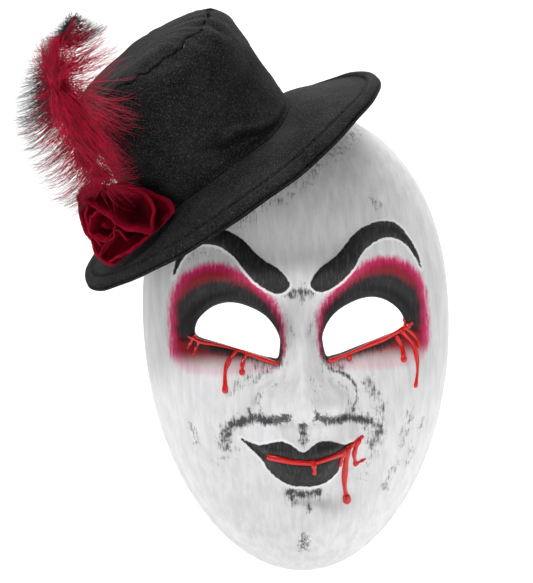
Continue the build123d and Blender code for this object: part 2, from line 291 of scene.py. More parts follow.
class Shader:
    # short names for adding and linking nodes in one tree

    def __init__(self, tree):
        self.tree = tree

    def node(self, kind, given=None, **settings):
        made = self.tree.nodes.new(kind)
        for key, value in settings.items():
            setattr(made, key, value)
        for key, value in (given or {}).items():
            self.put(made.inputs[key], value)
        return made

    def link(self, source, target):
        self.tree.links.new(source, target)

    def put(self, target, value):
        if isinstance(value, bpy.types.NodeSocket):
            self.link(value, target)
        elif isinstance(value, (tuple, list)) and len(value) == 3 and target.type == "RGBA":
            target.default_value = (*value, 1)
        else:
            target.default_value = value

    def math(self, operation, a, b=0.0):
        return self.node("ShaderNodeMath", {0: a, 1: b}, operation=operation).outputs[0]

    def plus(self, a, b):
        return self.math("ADD", a, b)

    def minus(self, a, b):
        return self.math("SUBTRACT", a, b)

    def times(self, a, b):
        return self.math("MULTIPLY", a, b)

    def over(self, a, b):
        return self.math("DIVIDE", a, b)

    def frayed(self, value, grain, amount):
        return self.plus(value, self.times(self.minus(grain, 0.5), amount))

    def vector(self, operation, a, b):
        return self.node("ShaderNodeVectorMath", {0: a, 1: b}, operation=operation).outputs[0]

    def scaled(self, vector, amount):
        return self.node("ShaderNodeVectorMath", {0: vector, "Scale": amount}, operation="SCALE").outputs[0]

    def ramp(self, value, low, high, toLow=0.0, toHigh=1.0):
        span = {"Value": value, "From Min": low, "From Max": high, "To Min": toLow, "To Max": toHigh}
        return self.node("ShaderNodeMapRange", span, interpolation_type="SMOOTHSTEP").outputs["Result"]

    def mix(self, factor, a, b):
        values = {"Factor": factor, "A": a, "B": b}
        return self.node("ShaderNodeMix", values, data_type="RGBA").outputs["Result"]

    def noise(self, vector, scale, detail=2.0, rough=0.5):
        grain = {"Vector": vector, "Scale": scale, "Detail": detail, "Roughness": rough}
        return self.node("ShaderNodeTexNoise", grain).outputs["Fac"]

    def stretched(self, vector, scale, turn=(0, 0, 0)):
        placed = {"Vector": vector, "Scale": scale, "Rotation": turn}
        return self.node("ShaderNodeMapping", placed).outputs["Vector"]

    def attribute(self, name):
        return self.node("ShaderNodeAttribute", attribute_name=name).outputs["Fac"]

    def stored(self, name, kind):
        made = self.node("GeometryNodeInputNamedAttribute", {"Name": name}, data_type=kind)
        return made.outputs["Attribute"]

    def objectPoint(self):
        return self.node("ShaderNodeTexCoord").outputs["Object"]

    def nap(self, base, fleck, scale, blotch):
        values = {
            "Vector": self.objectPoint(), "Fibre Scale": scale,
            "Base": base, "Fleck": fleck, "Blotch": blotch,
        }
        return self.node("ShaderNodeGroup", values, node_tree=clothNap).outputs

    def bump(self, height, strength, distance):
        values = {"Height": height, "Strength": strength, "Distance": distance}
        return self.node("ShaderNodeBump", values).outputs["Normal"]


def newMaterial(name, fixed=None):
    material = bpy.data.materials.new(name)
    material.use_nodes = True
    shader = Shader(material.node_tree)
    for key, value in (fixed or {}).items():
        shader.put(material.node_tree.nodes["Principled BSDF"].inputs[key], value)
    return material, shader


def dress(material, shader, colour, roughness, normal=None):
    surface = material.node_tree.nodes["Principled BSDF"].inputs
    shader.link(colour, surface["Base Color"])
    shader.link(roughness, surface["Roughness"])
    if normal:
        shader.link(normal, surface["Normal"])
    return material


def newGroup(name, inputs, outputs):
    tree = bpy.data.node_groups.new(name, "ShaderNodeTree")
    for label, kind, value in inputs:
        socket = tree.interface.new_socket(label, in_out="INPUT", socket_type=kind)
        if value is not None:
            socket.default_value = value
    for label, kind in outputs:
        tree.interface.new_socket(label, in_out="OUTPUT", socket_type=kind)
    shader = Shader(tree)
    return tree, shader, shader.node("NodeGroupInput").outputs, shader.node("NodeGroupOutput").inputs


def makeClothGroup():
    # nap of a brushed or pressed cloth: fibre flecks, soft blotches and a bump height
    inputs = [
        ("Vector", "NodeSocketVector", None), ("Fibre Scale", "NodeSocketFloat", 900.0),
        ("Base", "NodeSocketColor", (0.02, 0.02, 0.02, 1)), ("Fleck", "NodeSocketColor", (0.1, 0.1, 0.1, 1)),
        ("Blotch", "NodeSocketFloat", 0.4),
    ]
    outputs = [("Color", "NodeSocketColor"), ("Height", "NodeSocketFloat"), ("Roughness", "NodeSocketFloat")]
    tree, shader, given, result = newGroup("clothNap", inputs, outputs)
    fibre = shader.noise(given["Vector"], given["Fibre Scale"], 6, 0.65)
    turned = shader.stretched(given["Vector"], (1.0, 2.6, 0.7), (0.5, 0.3, 0.8))
    strand = shader.noise(turned, given["Fibre Scale"], 3, 0.5)
    blotch = shader.noise(given["Vector"], 45.0, 3, 0.6)
    fleck = shader.times(shader.ramp(fibre, 0.38, 0.78), shader.ramp(strand, 0.30, 0.75))
    cloudy = shader.times(shader.ramp(blotch, 0.35, 0.7), given["Blotch"])
    toned = shader.mix(cloudy, given["Base"], given["Fleck"])
    shader.link(shader.mix(fleck, toned, given["Fleck"]), result["Color"])
    shader.link(shader.plus(fibre, shader.times(strand, 0.6)), result["Height"])
    shader.link(shader.ramp(fibre, 0.3, 0.7, 0.78, 0.98), result["Roughness"])
    return tree


clothNap = makeClothGroup()


def clothMaterial(name, base, fleck, fibreScale, blotch, bumpHeight, sheen):
    fixed = {"Sheen Weight": sheen, "Sheen Roughness": 0.5, "Specular IOR Level": 0.12}
    material, shader = newMaterial(name, fixed)
    nap = shader.nap(base, fleck, fibreScale, blotch)
    normal = shader.bump(nap["Height"], 0.7, bumpHeight)
    return dress(material, shader, nap["Color"], nap["Roughness"], normal)


def grainMaterial(name, low, high, cloudScale, rough, pebble, fixed=None):
    # two tones in soft clouds, roughness that follows them, and a fine pebble
    material, shader = newMaterial(name, fixed)
    point = shader.objectPoint()
    cloud = shader.noise(point, cloudScale, 3, 0.6)
    scale, detail, share, strength, depth = pebble
    normal = shader.bump(shader.noise(point, scale, detail, share), strength, depth)
    return dress(material, shader, shader.mix(cloud, low, high), shader.ramp(cloud, 0.3, 0.7, *rough), normal)


def brushedMaterial(name, low, high, stretch, rough, fixed):
    # two tones in fine streaks
    material, shader = newMaterial(name, fixed)
    grain = shader.noise(shader.stretched(shader.objectPoint(), stretch), 1.0, 3, 0.6)
    return dress(material, shader, shader.mix(grain, low, high), shader.ramp(grain, 0.3, 0.7, *rough))


# name, base tone, fleck tone, fibre scale, blotches, bump depth, sheen
feltMaterial = clothMaterial(
    "blackFelt", (0.0015, 0.0015, 0.0019), (0.105, 0.105, 0.110), 1250, 0.10, 0.0012, 0.0
)
threadMaterial = clothMaterial(
    "blackThread", (0.006, 0.006, 0.006), (0.04, 0.04, 0.04), 2600, 0.2, 0.0003, 0.1
)
cardMaterial = clothMaterial("greyCard", (0.45, 0.44, 0.41), (0.62, 0.6, 0.56), 700, 0.5, 0.0001, 0.0)
foamMaterial = clothMaterial("whiteFoam", (0.7, 0.7, 0.68), (0.85, 0.85, 0.82), 1500, 0.3, 0.0002, 0.0)


# Face shell

faceForm = {
    "halfWidth": 82.0, "top": 122.0, "bottom": -125.0, "widest": 12.0,
    "depth": 62.0, "jawTaper": 0.15, "fullness": 2.2, "thickness": 2.5,
    "gridStep": 1.25, "shadeWashSpread": 2.6, "shadeWashMost": 0.34,
}
# swells and hollows: x, z, height, spread in x, spread in z
singleForms = [
    (0, 62, 3.0, 45, 30), (0, -4, 5.0, 6.5, 24), (0, -35, 14.5, 9.0, 9.0), (0, -24, 5, 6.5, 10),
    (0, -56, 6.0, 24, 11), (0, -101, 12.5, 17, 12), (0, -83.5, -3.5, 15, 4.5), (0, 27, -1.5, 6, 6),
]
pairedForms = [
    (27, 33, 5.0, 17, 7.5), (33, 6, -10.5, 16.5, 12.5), (10, 6, -5.0, 5.0, 13), (47, -28, 5.0, 17, 17),
    (14.5, -33.5, 9.5, 6.0, 6.2), (28, -61, -2.5, 8, 12), (24, -36, -3.5, 4.5, 9),
]
# grooves pressed into the face: points, depth, width, on both sides or on one
faceGrooves = [
    ([(15, -22.5), (21.5, -26), (23.8, -32), (21.5, -39), (17, -41.5)], 2.6, 1.9, True),
    ([(0, -43.5), (6, -42), (12, -42.8), (18, -42)], 2.2, 2.0, True),
    ([(26, -36), (34, -44), (38, -54), (37, -60)], 1.3, 3.0, True),
    ([(-1, -45), (-1.5, -53)], 1.2, 2.6, False),
]
# outer corner, over the top to the inner corner, and back along the lower lid
eyeOutline = [
    (54.4, 6.5), (53, 11), (49.5, 15), (44.5, 18.3), (38.5, 20), (32.5, 19.6), (27, 17.8), (21.5, 15),
    (17, 11.5), (13.4, 6.5), (11.3, 1.5), (11.2, -3), (12.6, -9), (16, -8.8), (20, -7.9), (27.5, -5.4),
    (35.5, -2.8), (45, 0.4), (51, 2.4), (53.6, 4),
]
browOutline = [
    (5.5, 29.0), (10.5, 35.9), (19.6, 42.3), (29.1, 52.8), (37.3, 57.5), (44.4, 59.2), (51.5, 58.0),
    (57.3, 52.2), (63.0, 42.6), (65.0, 33.6), (61, 41), (55.8, 47.5), (48.8, 50.5), (40.6, 48.9),
    (33.3, 43.4), (28.0, 35.8), (21.0, 28.4), (12.2, 23.6), (6.8, 25.4),
]
lipOutline = [
    (-33.7, -49.9), (-29, -52), (-24.4, -53.7), (-19.3, -53.2), (-12.7, -52.0), (-7.8, -54.0),
    (-1.9, -58.2), (2.3, -55.6), (7.0, -52.8), (13.9, -53.2), (20.3, -55.2), (27.5, -53.6), (23.4, -57.7),
    (19.0, -63.2), (16.3, -69.4), (11.5, -73.8), (6.2, -76.1), (-1, -76.4), (-8.2, -75.5), (-13.2, -72.8),
    (-18.7, -68.0), (-22.6, -61.6), (-27.0, -56.8),
]
mouthLine = [(-32, -50.8), (-22, -58), (-12, -61.3), (-2, -63.2), (8, -62.2), (17, -59.3), (25, -54.5)]
shadowOutline = [
    (62.3, 3), (63.8, 13.6), (62, 22), (53.2, 29.2), (42, 32), (30, 29), (20, 22), (13.7, 15.2),
    (10.6, 7.3), (9.7, -3), (11.5, -12.3), (18.1, -12.6), (28.5, -9.7), (41.4, -6.6), (53.4, -2.8),
]
haloOutline = [
    (68.4, 0.7), (68.1, 17.5), (64.2, 31.5), (54.2, 39.3), (41.6, 41.3), (27.2, 35), (16.5, 24.8),
    (9.8, 15.6), (7.7, 5.4), (8.3, -6.7), (13.8, -15.5), (27.4, -16.8), (43, -17.4), (60, -15),
    (67.2, -7.8),
]
# soft dry-brushed strokes: line points, width, strength
creaseStrokes = [
    ([(-36.6, -43), (-26, -39.9), (-18.4, -41), (-9.5, -39.6)], 3.0, 1.05),
    ([(5.8, -39.2), (12.3, -41.9), (24.8, -41.6), (33.6, -43.9)], 3.0, 1.0),
    ([(-28.5, -35), (-26.4, -41)], 1.3, 0.95), ([(-33.4, -41), (-39.3, -44.6), (-41.5, -52.6)], 4.4, 0.8),
    ([(32, -43.4), (39.2, -47.8), (35.1, -55.6)], 4.4, 0.75), ([(-1.6, -44.2), (-1.5, -52.3)], 2.7, 0.9),
    ([(14.9, -16.5), (22.7, -19.8), (26.6, -25.4), (27.5, -31.3), (25.3, -37.5)], 1.0, 0.95),
    ([(-25.3, -21), (-19.2, -16.2), (-11.7, -12.5)], 2.4, 0.6),
    ([(-3.9, 22.9), (1.1, 23.8), (5.9, 22.4)], 3.0, 0.85), ([(1, 18), (1, 28)], 2.0, 0.55),
    ([(-9.2, -79), (-1.7, -80.5), (5.7, -79.5)], 2.6, 0.95), ([(-7.6, -79.4), (-7.4, -86)], 2.2, 0.7),
    ([(0.2, -79.7), (0.8, -88)], 2.4, 0.65), ([(-2.4, -103), (-1.8, -109.7)], 3.6, 0.75),
    ([(-58.4, -42.9), (-56, -51.9)], 2.4, 0.5), ([(56, -41), (51.4, -56.9)], 3.4, 0.5),
    ([(63.6, -44.9), (61.4, -49.8)], 2.0, 0.45), ([(47.6, -66.9), (41, -80.4)], 3.4, 0.45),
    ([(58.1, -57.7), (53.8, -67.6)], 3.0, 0.4), ([(33.3, -23.7), (40.9, -39.9)], 4.6, 0.5),
    ([(-37.1, -24.9), (-25.1, -17.5)], 3.4, 0.45),
    ([(-10.6, -6.4), (-14.8, -13.8), (-24.8, -13)], 2.2, 0.7),
    ([(10.1, -7.2), (12.4, -14.6), (20, -15.4)], 2.2, 0.7), ([(40, 70), (43, 67)], 3.0, 0.5),
    ([(-46, -62), (-36, -56)], 3.4, 0.4), ([(34, -62), (29, -74)], 4.0, 0.35),
    ([(4, -20), (6, -34)], 3.4, 0.3),
]


def rimShare(x, z):
    form = faceForm
    rise = z - form["widest"]
    across = np.abs(x) / form["halfWidth"]
    up = np.maximum(rise, 0) / (form["top"] - form["widest"])
    down = np.maximum(-rise, 0) / (form["widest"] - form["bottom"])
    full = form["fullness"]
    above = (across**full + up**full) ** (1 / full)
    below = np.sqrt((across / (1 - form["jawTaper"] * np.minimum(down, 1.2) ** 3)) ** 2 + down**2)
    return np.where(rise > 0, above, below)


def bell(x, z, form, side=1):
    fx, fz, height, sx, sz = form
    return height * np.exp(-(((x - side * fx) / sx) ** 2 + ((z - fz) / sz) ** 2) / 2)


def faceLevel(x, z):
    # how far the painted side of the shell stands out
    x, z = np.asarray(x, float), np.asarray(z, float)
    share = rimShare(x, z) / 1.02
    steep = np.minimum(share, 0.93)
    dome = np.sqrt(1 - steep**2.5)
    level = faceForm["depth"] * (dome - 1.25 * steep**1.5 / dome * (share - steep))
    relief = sum(bell(x, z, form) for form in singleForms)
    relief = relief + sum(bell(x, z, form, side) for form in pairedForms for side in (1, -1))
    ax = np.abs(x)
    # brows stand proud, lips are full with a parting, lids thicken round the openings
    relief += 1.7 * smoothStep(1.6, -3.0, edgeDistance(ax, z, browCurve))
    lip = edgeDistance(x, z, lipCurve)
    relief += 3.4 * smoothStep(0.8, -6.5, lip) + 0.5 * smoothStep(1.2, -0.2, lip)
    part = lineDistance(x, z, mouthCurve)
    relief -= 2.3 * np.exp(-((part / 1.7) ** 2)) * smoothStep(1.5, -1.0, lip)
    eye = edgeDistance(ax, z, eyeCurve)
    relief += 1.5 * np.exp(-(((eye - 2.2) / 2.2) ** 2)) - 1.0 * np.exp(-(((eye - 7.5) / 2.4) ** 2)) * (z > 2)
    for points, depth, width, paired in faceGrooves:
        groove = lineDistance(ax if paired else x, z, points)
        relief -= depth * np.exp(-((groove / width) ** 2))
    return level + relief * smoothStep(1.0, 0.75, share)


eyeCurve = closedCurve(eyeOutline, 5)
browCurve = closedCurve(browOutline, 4)
lipCurve = closedCurve(lipOutline, 4)
mouthCurve = roundCurve(mouthLine, 30)
shadowCurve = closedCurve(shadowOutline, 4)
haloCurve = closedCurve(haloOutline, 4)


def rimPoint(angle, share):
    x, rise = math.cos(angle), math.sin(angle)
    reach = share / float(rimShare(np.array(x), np.array(faceForm["widest"] + rise)))
    return (x * reach, faceForm["widest"] + rise * reach)


def eyeRing(side, grow):
    # the eye outline moved out by grow
    ahead = np.roll(eyeCurve, -1, 0) - np.roll(eyeCurve, 1, 0)
    out = np.stack([ahead[:, 1], -ahead[:, 0]], 1)
    out /= np.linalg.norm(out, axis=1)[:, None]
    ring = eyeCurve + out * grow
    if edgeDistance(ring[:1, 0], ring[:1, 1], eyeCurve)[0] * grow < 0:
        ring = eyeCurve - out * grow
    return [(side * x, z) for x, z in ring]


def faceMesh():
    # plan of the shell as a triangle net, lifted to its relief, with the side wall added.
    step = faceForm["gridStep"]
    ringCount = 360
    shares = [1.0, 0.992, 0.98, 0.966, 0.95]
    points, fixed = [], []
    for share in shares:
        for k in range(ringCount):
            points.append(rimPoint(2 * math.pi * k / ringCount, share))
    fixed += [(i, (i + 1) % ringCount) for i in range(ringCount)]
    holes = []
    for side in (1, -1):
        for grow in (0.0, 0.6, 1.4):
            start = len(points)
            ring = eyeRing(side, grow)
            points += ring
            if grow == 0:
                fixed += [(start + i, start + (i + 1) % len(ring)) for i in range(len(ring))]
                holes.append(np.array(ring))
    rows = int(260 / (step * 0.866))
    for r in range(rows):
        z = -130 + r * step * 0.866
        xs = np.arange(-84, 84, step) + (step / 2 if r % 2 else 0)
        share = rimShare(xs, np.full(xs.shape, z))
        eye = edgeDistance(np.abs(xs), np.full(xs.shape, z), eyeCurve)
        points += [(x, z) for x in xs[(share < 0.94) & (eye > 2.0)]]
    coords = [Vector(p) for p in points]
    flat, _, triangles, _, _, _ = geometry.delaunay_2d_cdt(coords, fixed, [], 1, 1e-5)
    plan = np.array([(v.x, v.y) for v in flat])
    middle = np.array([(plan[a] + plan[b] + plan[c]) / 3 for a, b, c in triangles])
    keep = np.ones(len(triangles), bool)
    for hole in holes:
        keep &= edgeDistance(middle[:, 0], middle[:, 1], hole) > 0
    faces = [t for t, k in zip(triangles, keep) if k]
    level = faceLevel(plan[:, 0], plan[:, 1])
    # round the shoulder into the wall, and ease the lids back at the openings
    share = rimShare(plan[:, 0], plan[:, 1])
    level -= 5.0 * np.clip((share - 0.95) / 0.05, 0, 1) ** 2.2
    eye = edgeDistance(np.abs(plan[:, 0]), plan[:, 1], eyeCurve)
    level -= 0.9 * np.clip(1 - eye / 1.3, 0, 1) ** 2
    verts = np.stack([plan[:, 0], -level, plan[:, 1]], 1)
    # side wall from the shoulder to the rim plane
    loop = [int(np.argmin(np.hypot(plan[:, 0] - p[0], plan[:, 1] - p[1]))) for p in points[:ringCount]]
    last = loop
    verts = list(verts)
    for part in (0.25, 0.5, 0.75, 0.93, 1.0):
        ring = []
        for k, i in enumerate(loop):
            x, y, z = verts[i]
            inward = 0.004 if part == 1.0 else 0
            ring.append(len(verts))
            verts.append(np.array((x * (1 - inward), y * (1 - part), z - (z - 12) * inward)))
        for k in range(ringCount):
            n = (k + 1) % ringCount
            faces.append((last[k], last[n], ring[n], ring[k]))
        last = ring
    return np.array(verts), faces


def storeValue(piece, name, values):
    layer = piece.data.attributes.new(name, "FLOAT", "POINT")
    layer.data.foreach_set("value", np.asarray(values, np.float32))


def facePaint():
    # satin white with brushed make-up: brows, eye shadow, lips and smoky creases, with painted shade in the
    # hollows and a painted shadow under the brim
    material, shader = newMaterial("facePaint", {"Specular IOR Level": 0.35})
    point = shader.objectPoint()
    down = shader.noise(shader.stretched(point, (1400, 500, 90)), 1.0, 4, 0.6)
    broad = shader.noise(shader.stretched(point, (260, 160, 40)), 1.0, 3, 0.6)
    slant = shader.noise(shader.stretched(point, (900, 400, 160), (0, 0.7, 0)), 1.0, 4, 0.65)
    fine = shader.noise(point, 2200, 2, 0.5)
    wobble = shader.minus(shader.noise(point, 420, 3, 0.6), 0.5)
    # ground coat
    ground = shader.mix(shader.ramp(broad, 0.3, 0.7), (0.70, 0.70, 0.71), (0.82, 0.82, 0.83))
    ground = shader.mix(shader.times(shader.ramp(down, 0.54, 0.78), 0.30), ground, (0.50, 0.50, 0.52))
    # smoky dry brush in the creases, together with painted shade in the hollows and the brim's painted
    # shadow, all read from the crease attribute
    crease = shader.attribute("crease")
    smokeAndShade = shader.frayed(shader.frayed(crease, down, 1.6), shader.noise(point, 330, 3, 0.6), 1.5)
    smokeAndShade = shader.times(shader.ramp(smokeAndShade, 0.25, 1.0), shader.ramp(crease, 0.03, 0.3))
    ground = shader.mix(shader.times(smokeAndShade, 0.95), ground, (0.022, 0.022, 0.025))
    # rosy halo, then black shadow round each opening
    soft = shader.frayed(shader.attribute("haloEdge"), slant, 6.5)
    low = shader.ramp(shader.attribute("haloLow"), 0.0, 1.0, 0.28, 1.0)
    pink = shader.mix(shader.ramp(soft, -1.5, -6.5), (0.66, 0.02, 0.15), (0.30, 0.004, 0.018))
    ground = shader.mix(shader.times(shader.ramp(soft, 1.6, -2.6), low), ground, pink)
    rough = shader.frayed(shader.attribute("shadowEdge"), slant, 6.5)
    black = shader.mix(shader.ramp(down, 0.5, 0.8), (0.011, 0.010, 0.012), (0.045, 0.042, 0.046))
    ground = shader.mix(shader.ramp(rough, 2.6, -2.4), ground, black)
    # brows and lips with a slightly wavering edge and a clean white line round them
    marks = []
    for name in ("browEdge", "lipEdge"):
        edge = shader.plus(shader.attribute(name), shader.times(wobble, 1.3))
        clean = shader.times(shader.ramp(edge, 0.0, 0.35), shader.ramp(edge, 1.7, 0.9))
        ground = shader.mix(clean, ground, (0.86, 0.86, 0.87))
        marks.append(shader.ramp(edge, 0.18, -0.18))
    tone = shader.mix(shader.ramp(slant, 0.45, 0.75), (0.012, 0.012, 0.013), (0.06, 0.06, 0.063))
    mark = shader.math("MAXIMUM", marks[0], marks[1])
    gloss = shader.ramp(broad, 0.3, 0.7, 0.40, 0.55)
    gloss = shader.plus(gloss, shader.times(shader.ramp(rough, 0.8, -1.6), 0.16))
    height = shader.plus(shader.times(down, 0.7), shader.times(fine, 0.25))
    height = shader.plus(height, shader.times(mark, 1.2))
    return dress(material, shader, shader.mix(mark, ground, tone), gloss, shader.bump(height, 0.5, 0.00035))


shellBack = grainMaterial(
    "shellBack", (0.60, 0.59, 0.57), (0.74, 0.73, 0.71), 60, (0.45, 0.62), (1300, 3, 0.6, 0.4, 0.0003)
)


def makeShell():
    verts, faces = faceMesh()
    shell = addPiece("faceShell", verts * mm, faces, facePaint())
    x, z = verts[:, 0], verts[:, 2]
    ax = np.abs(x)
    wall = rimShare(x, z) > 0.997
    lip = edgeDistance(x, z, lipCurve)
    storeValue(shell, "browEdge", edgeDistance(ax, z, browCurve))
    storeValue(shell, "lipEdge", lip)
    storeValue(shell, "shadowEdge", edgeDistance(ax, z, shadowCurve))
    storeValue(shell, "haloEdge", edgeDistance(ax, z, haloCurve))
    storeValue(shell, "haloLow", smoothStep(-16, -2, z))
    crease = np.zeros(len(x))
    for points, width, strength in creaseStrokes:
        line = lineDistance(x, z, roundCurve(points, 12) if len(points) > 2 else points)
        crease = np.maximum(crease, strength * np.exp(-((line / width) ** 2)))
    # dark wash in the hollows of the relief: partly the mask's dry-brushed smoke, partly painted shade where
    # the hollows lie in shade
    spread = faceForm["shadeWashSpread"]
    turns = np.arange(8) * math.pi / 4
    around = sum(faceLevel(x + spread * math.cos(t), z + spread * math.sin(t)) for t in turns) / 8
    hollowShade = np.clip(around - faceLevel(x, z), 0, 1.2)
    hollowShade *= (edgeDistance(ax, z, eyeCurve) > 4) * (lip > 1.5) * (rimShare(x, z) < 0.93)
    crease = np.maximum(crease, np.clip(hollowShade * 0.9, 0, faceForm["shadeWashMost"]))
    # smoky strokes and the brim's painted shadow along the foot of the hat
    foot = lineDistance(x, z, [(-62, 44), (-30, 62), (5, 82), (35, 108)])
    crease = np.maximum(crease, 0.36 * np.exp(-((foot / 7.0) ** 2)))
    # the crease attribute holds the make-up strokes, the painted shade in the hollows and the brim's painted
    # shadow
    storeValue(shell, "crease", np.where(wall, 0.0, crease))
    outwardNormals(shell)
    shell.data.materials.append(shellBack)
    thicken(shell, faceForm["thickness"], -1)
    shell.modifiers["thickness"].material_offset = 1
    bakeModifiers(shell)
    settle(shell, "mask_shell")
    return shell


placeCamera(cameraSetup)
placeStudio()
print("stage ready")
faceShell = makeShell()
print("face shell:", len(faceShell.data.polygons), "faces")


# Raised gel trails

gelForm = {"fullness": 1.22, "unevenness": 0.22, "lift": 0.12, "grain": 0.28}
gelRed = grainMaterial(
    "redGel", (0.50, 0.0, 0.0), (0.80, 0.004, 0.001), 350, (0.12, 0.26), (900, 2, 0.5, 0.25, 0.0003),
    {"Coat Weight": 0.35, "Coat Roughness": 0.04},
)
# each trail: points on the face, radius at its start, radius at its end, radius of the drop at its end
gelTrails = {
    "gel_left_eye": [
        ([(-57.5, 3.4), (-51, 0.2), (-44, -1.4), (-33, -4.6), (-22, -9.0), (-13, -12.2)], 0.9, 0.9, 0),
        ([(-34, -5.5), (-38, -10.5), (-39.8, -15.5), (-40.2, -25)], 1.1, 0.9, 1.75),
        ([(-28.5, -6.8), (-30.8, -12), (-31.2, -16)], 1.0, 0.8, 1.7),
        ([(-55, 3), (-58.4, -2.5)], 0.9, 0.7, 0.8), ([(-53, -0.5), (-56.2, -6)], 0.8, 0.6, 0.7),
    ],
    "gel_right_eye": [
        ([(14, -12), (22, -9.3), (35, -4.8), (45, -1.3), (54, 3.2)], 0.95, 1.2, 0),
        ([(50, -1.5), (52.4, -7), (52.8, -13)], 1.2, 0.9, 1.8),
        ([(53, 1), (58, -5), (60, -12), (60.2, -19), (58.8, -27)], 1.2, 0.8, 1.3),
        ([(55, 3), (60, -2), (61.5, -7)], 1.0, 0.7, 0.8), ([(56, 4), (59, 6)], 0.9, 0.5, 0),
        ([(55, 4), (54.2, 8)], 0.8, 0.5, 0), ([(24, -10.2), (24.2, -11.2)], 1.0, 1.0, 1.5),
    ],
    "gel_mouth": [
        ([
            (-18.5, -60.0), (-10, -62), (-2, -63.6), (4, -63.8),
            (12, -61.6), (19, -59.2), (24, -56), (29.5, -51.8),
        ], 1.4, 1.1, 0),
        ([(3.6, -63), (3.9, -69)], 1.3, 0.8, 1.3),
        ([(21.5, -58), (20.3, -67), (19.8, -76), (21, -85)], 1.6, 1.0, 2.3),
        ([(27.5, -54), (25.2, -60), (25.8, -66)], 1.2, 0.9, 1.4), ([(25.8, -66), (31.5, -63.5)], 0.9, 0.5, 0),
        ([(19, -60), (17.5, -65.5)], 1.1, 0.8, 1.2),
    ],
}


def faceNormal(x, z):
    slopeX = (faceLevel(x + 0.4, z) - faceLevel(x - 0.4, z)) / 0.8
    slopeZ = (faceLevel(x, z + 0.4) - faceLevel(x, z - 0.4)) / 0.8
    out = np.stack([-slopeX, -np.ones_like(slopeX), -slopeZ], -1)
    return out / np.linalg.norm(out, axis=-1)[..., None]


def makeGel(name, trails):
    # beads of gel joined into one skin, flattened where they meet the face
    work = bmesh.new()
    for points, radiusStart, radiusEnd, drop in trails:
        path = roundCurve(points, max(8, 9 * len(points)))
        level = faceLevel(path[:, 0], path[:, 1])
        out = faceNormal(path[:, 0], path[:, 1])
        for k in range(len(path)):
            t = k / (len(path) - 1)
            radius = gelForm["fullness"] * (radiusStart + (radiusEnd - radiusStart) * t)
            radius += gelForm["unevenness"] * math.sin(11 * t + points[0][0])
            if drop:
                radius = max(radius, drop * smoothStep(0.80, 0.97, t))
            base = np.array((path[k, 0], -level[k], path[k, 1])) + out[k] * radius * gelForm["lift"]
            place = Matrix.Translation(Vector(base * mm)) @ Matrix.Scale(radius * mm, 4)
            bmesh.ops.create_icosphere(work, subdivisions=2, radius=1.0, matrix=place)
    piece = addPiece(name.replace("_", "") + "Trail", [], [], gelRed)
    work.to_mesh(piece.data)
    work.free()
    remesh = piece.modifiers.new("skin", "REMESH")
    remesh.mode = "VOXEL"
    remesh.voxel_size = gelForm["grain"] * mm
    ease = piece.modifiers.new("ease", "SMOOTH")
    ease.iterations = 5
    ease.factor = 0.5
    bakeModifiers(piece)
    smoothFaces(piece)
    settle(piece, name)
    return piece


for gelName, gelList in gelTrails.items():
    made = makeGel(gelName, gelList)
    print(made.name, len(made.data.polygons), "faces")


# Hat

hatForm = {
    "crownRadius": 49.7, "crownHeight": 79.0, "taperPerMm": 0.0258, "crownWall": 2.2,
    "edgeLevel": -6.0, "halfLength": 94.5, "halfWidth": 78.0,
    "seamDrop": 7.5, "shoulder": 5.0, "hemZone": 8.0, "stitchInset": 6.3, "ridge": 10.0, "tipLevel": 76.3,
    "footInset": 38.0, "columns": 280,
}
seamBase = hatForm["crownHeight"] - hatForm["seamDrop"]


def hatFrame():
    # seat of the crown and its three directions, from the flat tip stiffener.
    points = np.array([v.co for v in frame["nodes"]["tip_stiffener"].data.vertices]) / mm
    low, high = points.min(0), points.max(0)
    centred = points - points.mean(0)
    axis = np.linalg.svd(centred, full_matrices=False)[2][2]
    axis = axis if axis[2] > 0 else -axis
    side = np.array((axis[2], 0, -axis[0]))
    side /= np.linalg.norm(side)
    return (low + high) / 2 - axis * hatForm["tipLevel"], side, np.cross(axis, side), axis


hatSeat, hatSide, hatBack, hatAxis = hatFrame()


def hatPoint(u, w, h):
    u, w, h = np.broadcast_arrays(np.asarray(u, float), np.asarray(w, float), np.asarray(h, float))
    return hatSeat + u[..., None] * hatSide + w[..., None] * hatBack + h[..., None] * hatAxis


def brimLevel(u, w):
    edge = (u / hatForm["halfLength"]) ** 2 + (w / hatForm["halfWidth"]) ** 2
    front = w * w / (u * u + w * w + 200)
    ridge = hatForm["ridge"] * np.exp(-(((u - 52) / 15) ** 2 + (w / 32) ** 2) / 2)
    return hatForm["edgeLevel"] + (8.3 + 18.6 * front) * (1 - edge) + ridge


def ovalPoint(angle, inset):
    # inset counts in from the brim's edge to the foot of the crown
    hem = hatForm["hemZone"]
    oval = min(inset, hem)
    u = (hatForm["halfLength"] - oval) * math.cos(angle)
    w = (hatForm["halfWidth"] - oval) * math.sin(angle)
    share = max(0, inset - oval) / (hatForm["footInset"] - hem)
    foot = hatForm["crownRadius"] - hatForm["crownWall"] + 0.05
    return u + (foot * math.cos(angle) - u) * share, w + (foot * math.sin(angle) - w) * share


def brimWave(angle, inset):
    # the hem waves a little, the part that holds the foam doesn't
    wave = 0.45 * math.sin(3 * angle + 1.1) + 0.3 * math.sin(7 * angle) + 0.15 * math.sin(17 * angle + 2)
    return float(smoothStep(7.0, 2.0, inset)) * wave


def makeBrimLayer(name, section, node):
    # a felt ring: section is (distance in from the edge, height over the brim) round the cloth
    columns = 260
    verts = []
    for inset, lift in section:
        for angle in ringTurns(columns):
            u, w = ovalPoint(angle, inset)
            verts.append(hatPoint(u, w, brimLevel(u, w) + lift + brimWave(angle, inset)) * mm)
    piece = addPiece(name, verts, gridFaces(len(section), columns, True, True), feltMaterial)
    outwardNormals(piece)
    settle(piece, node)


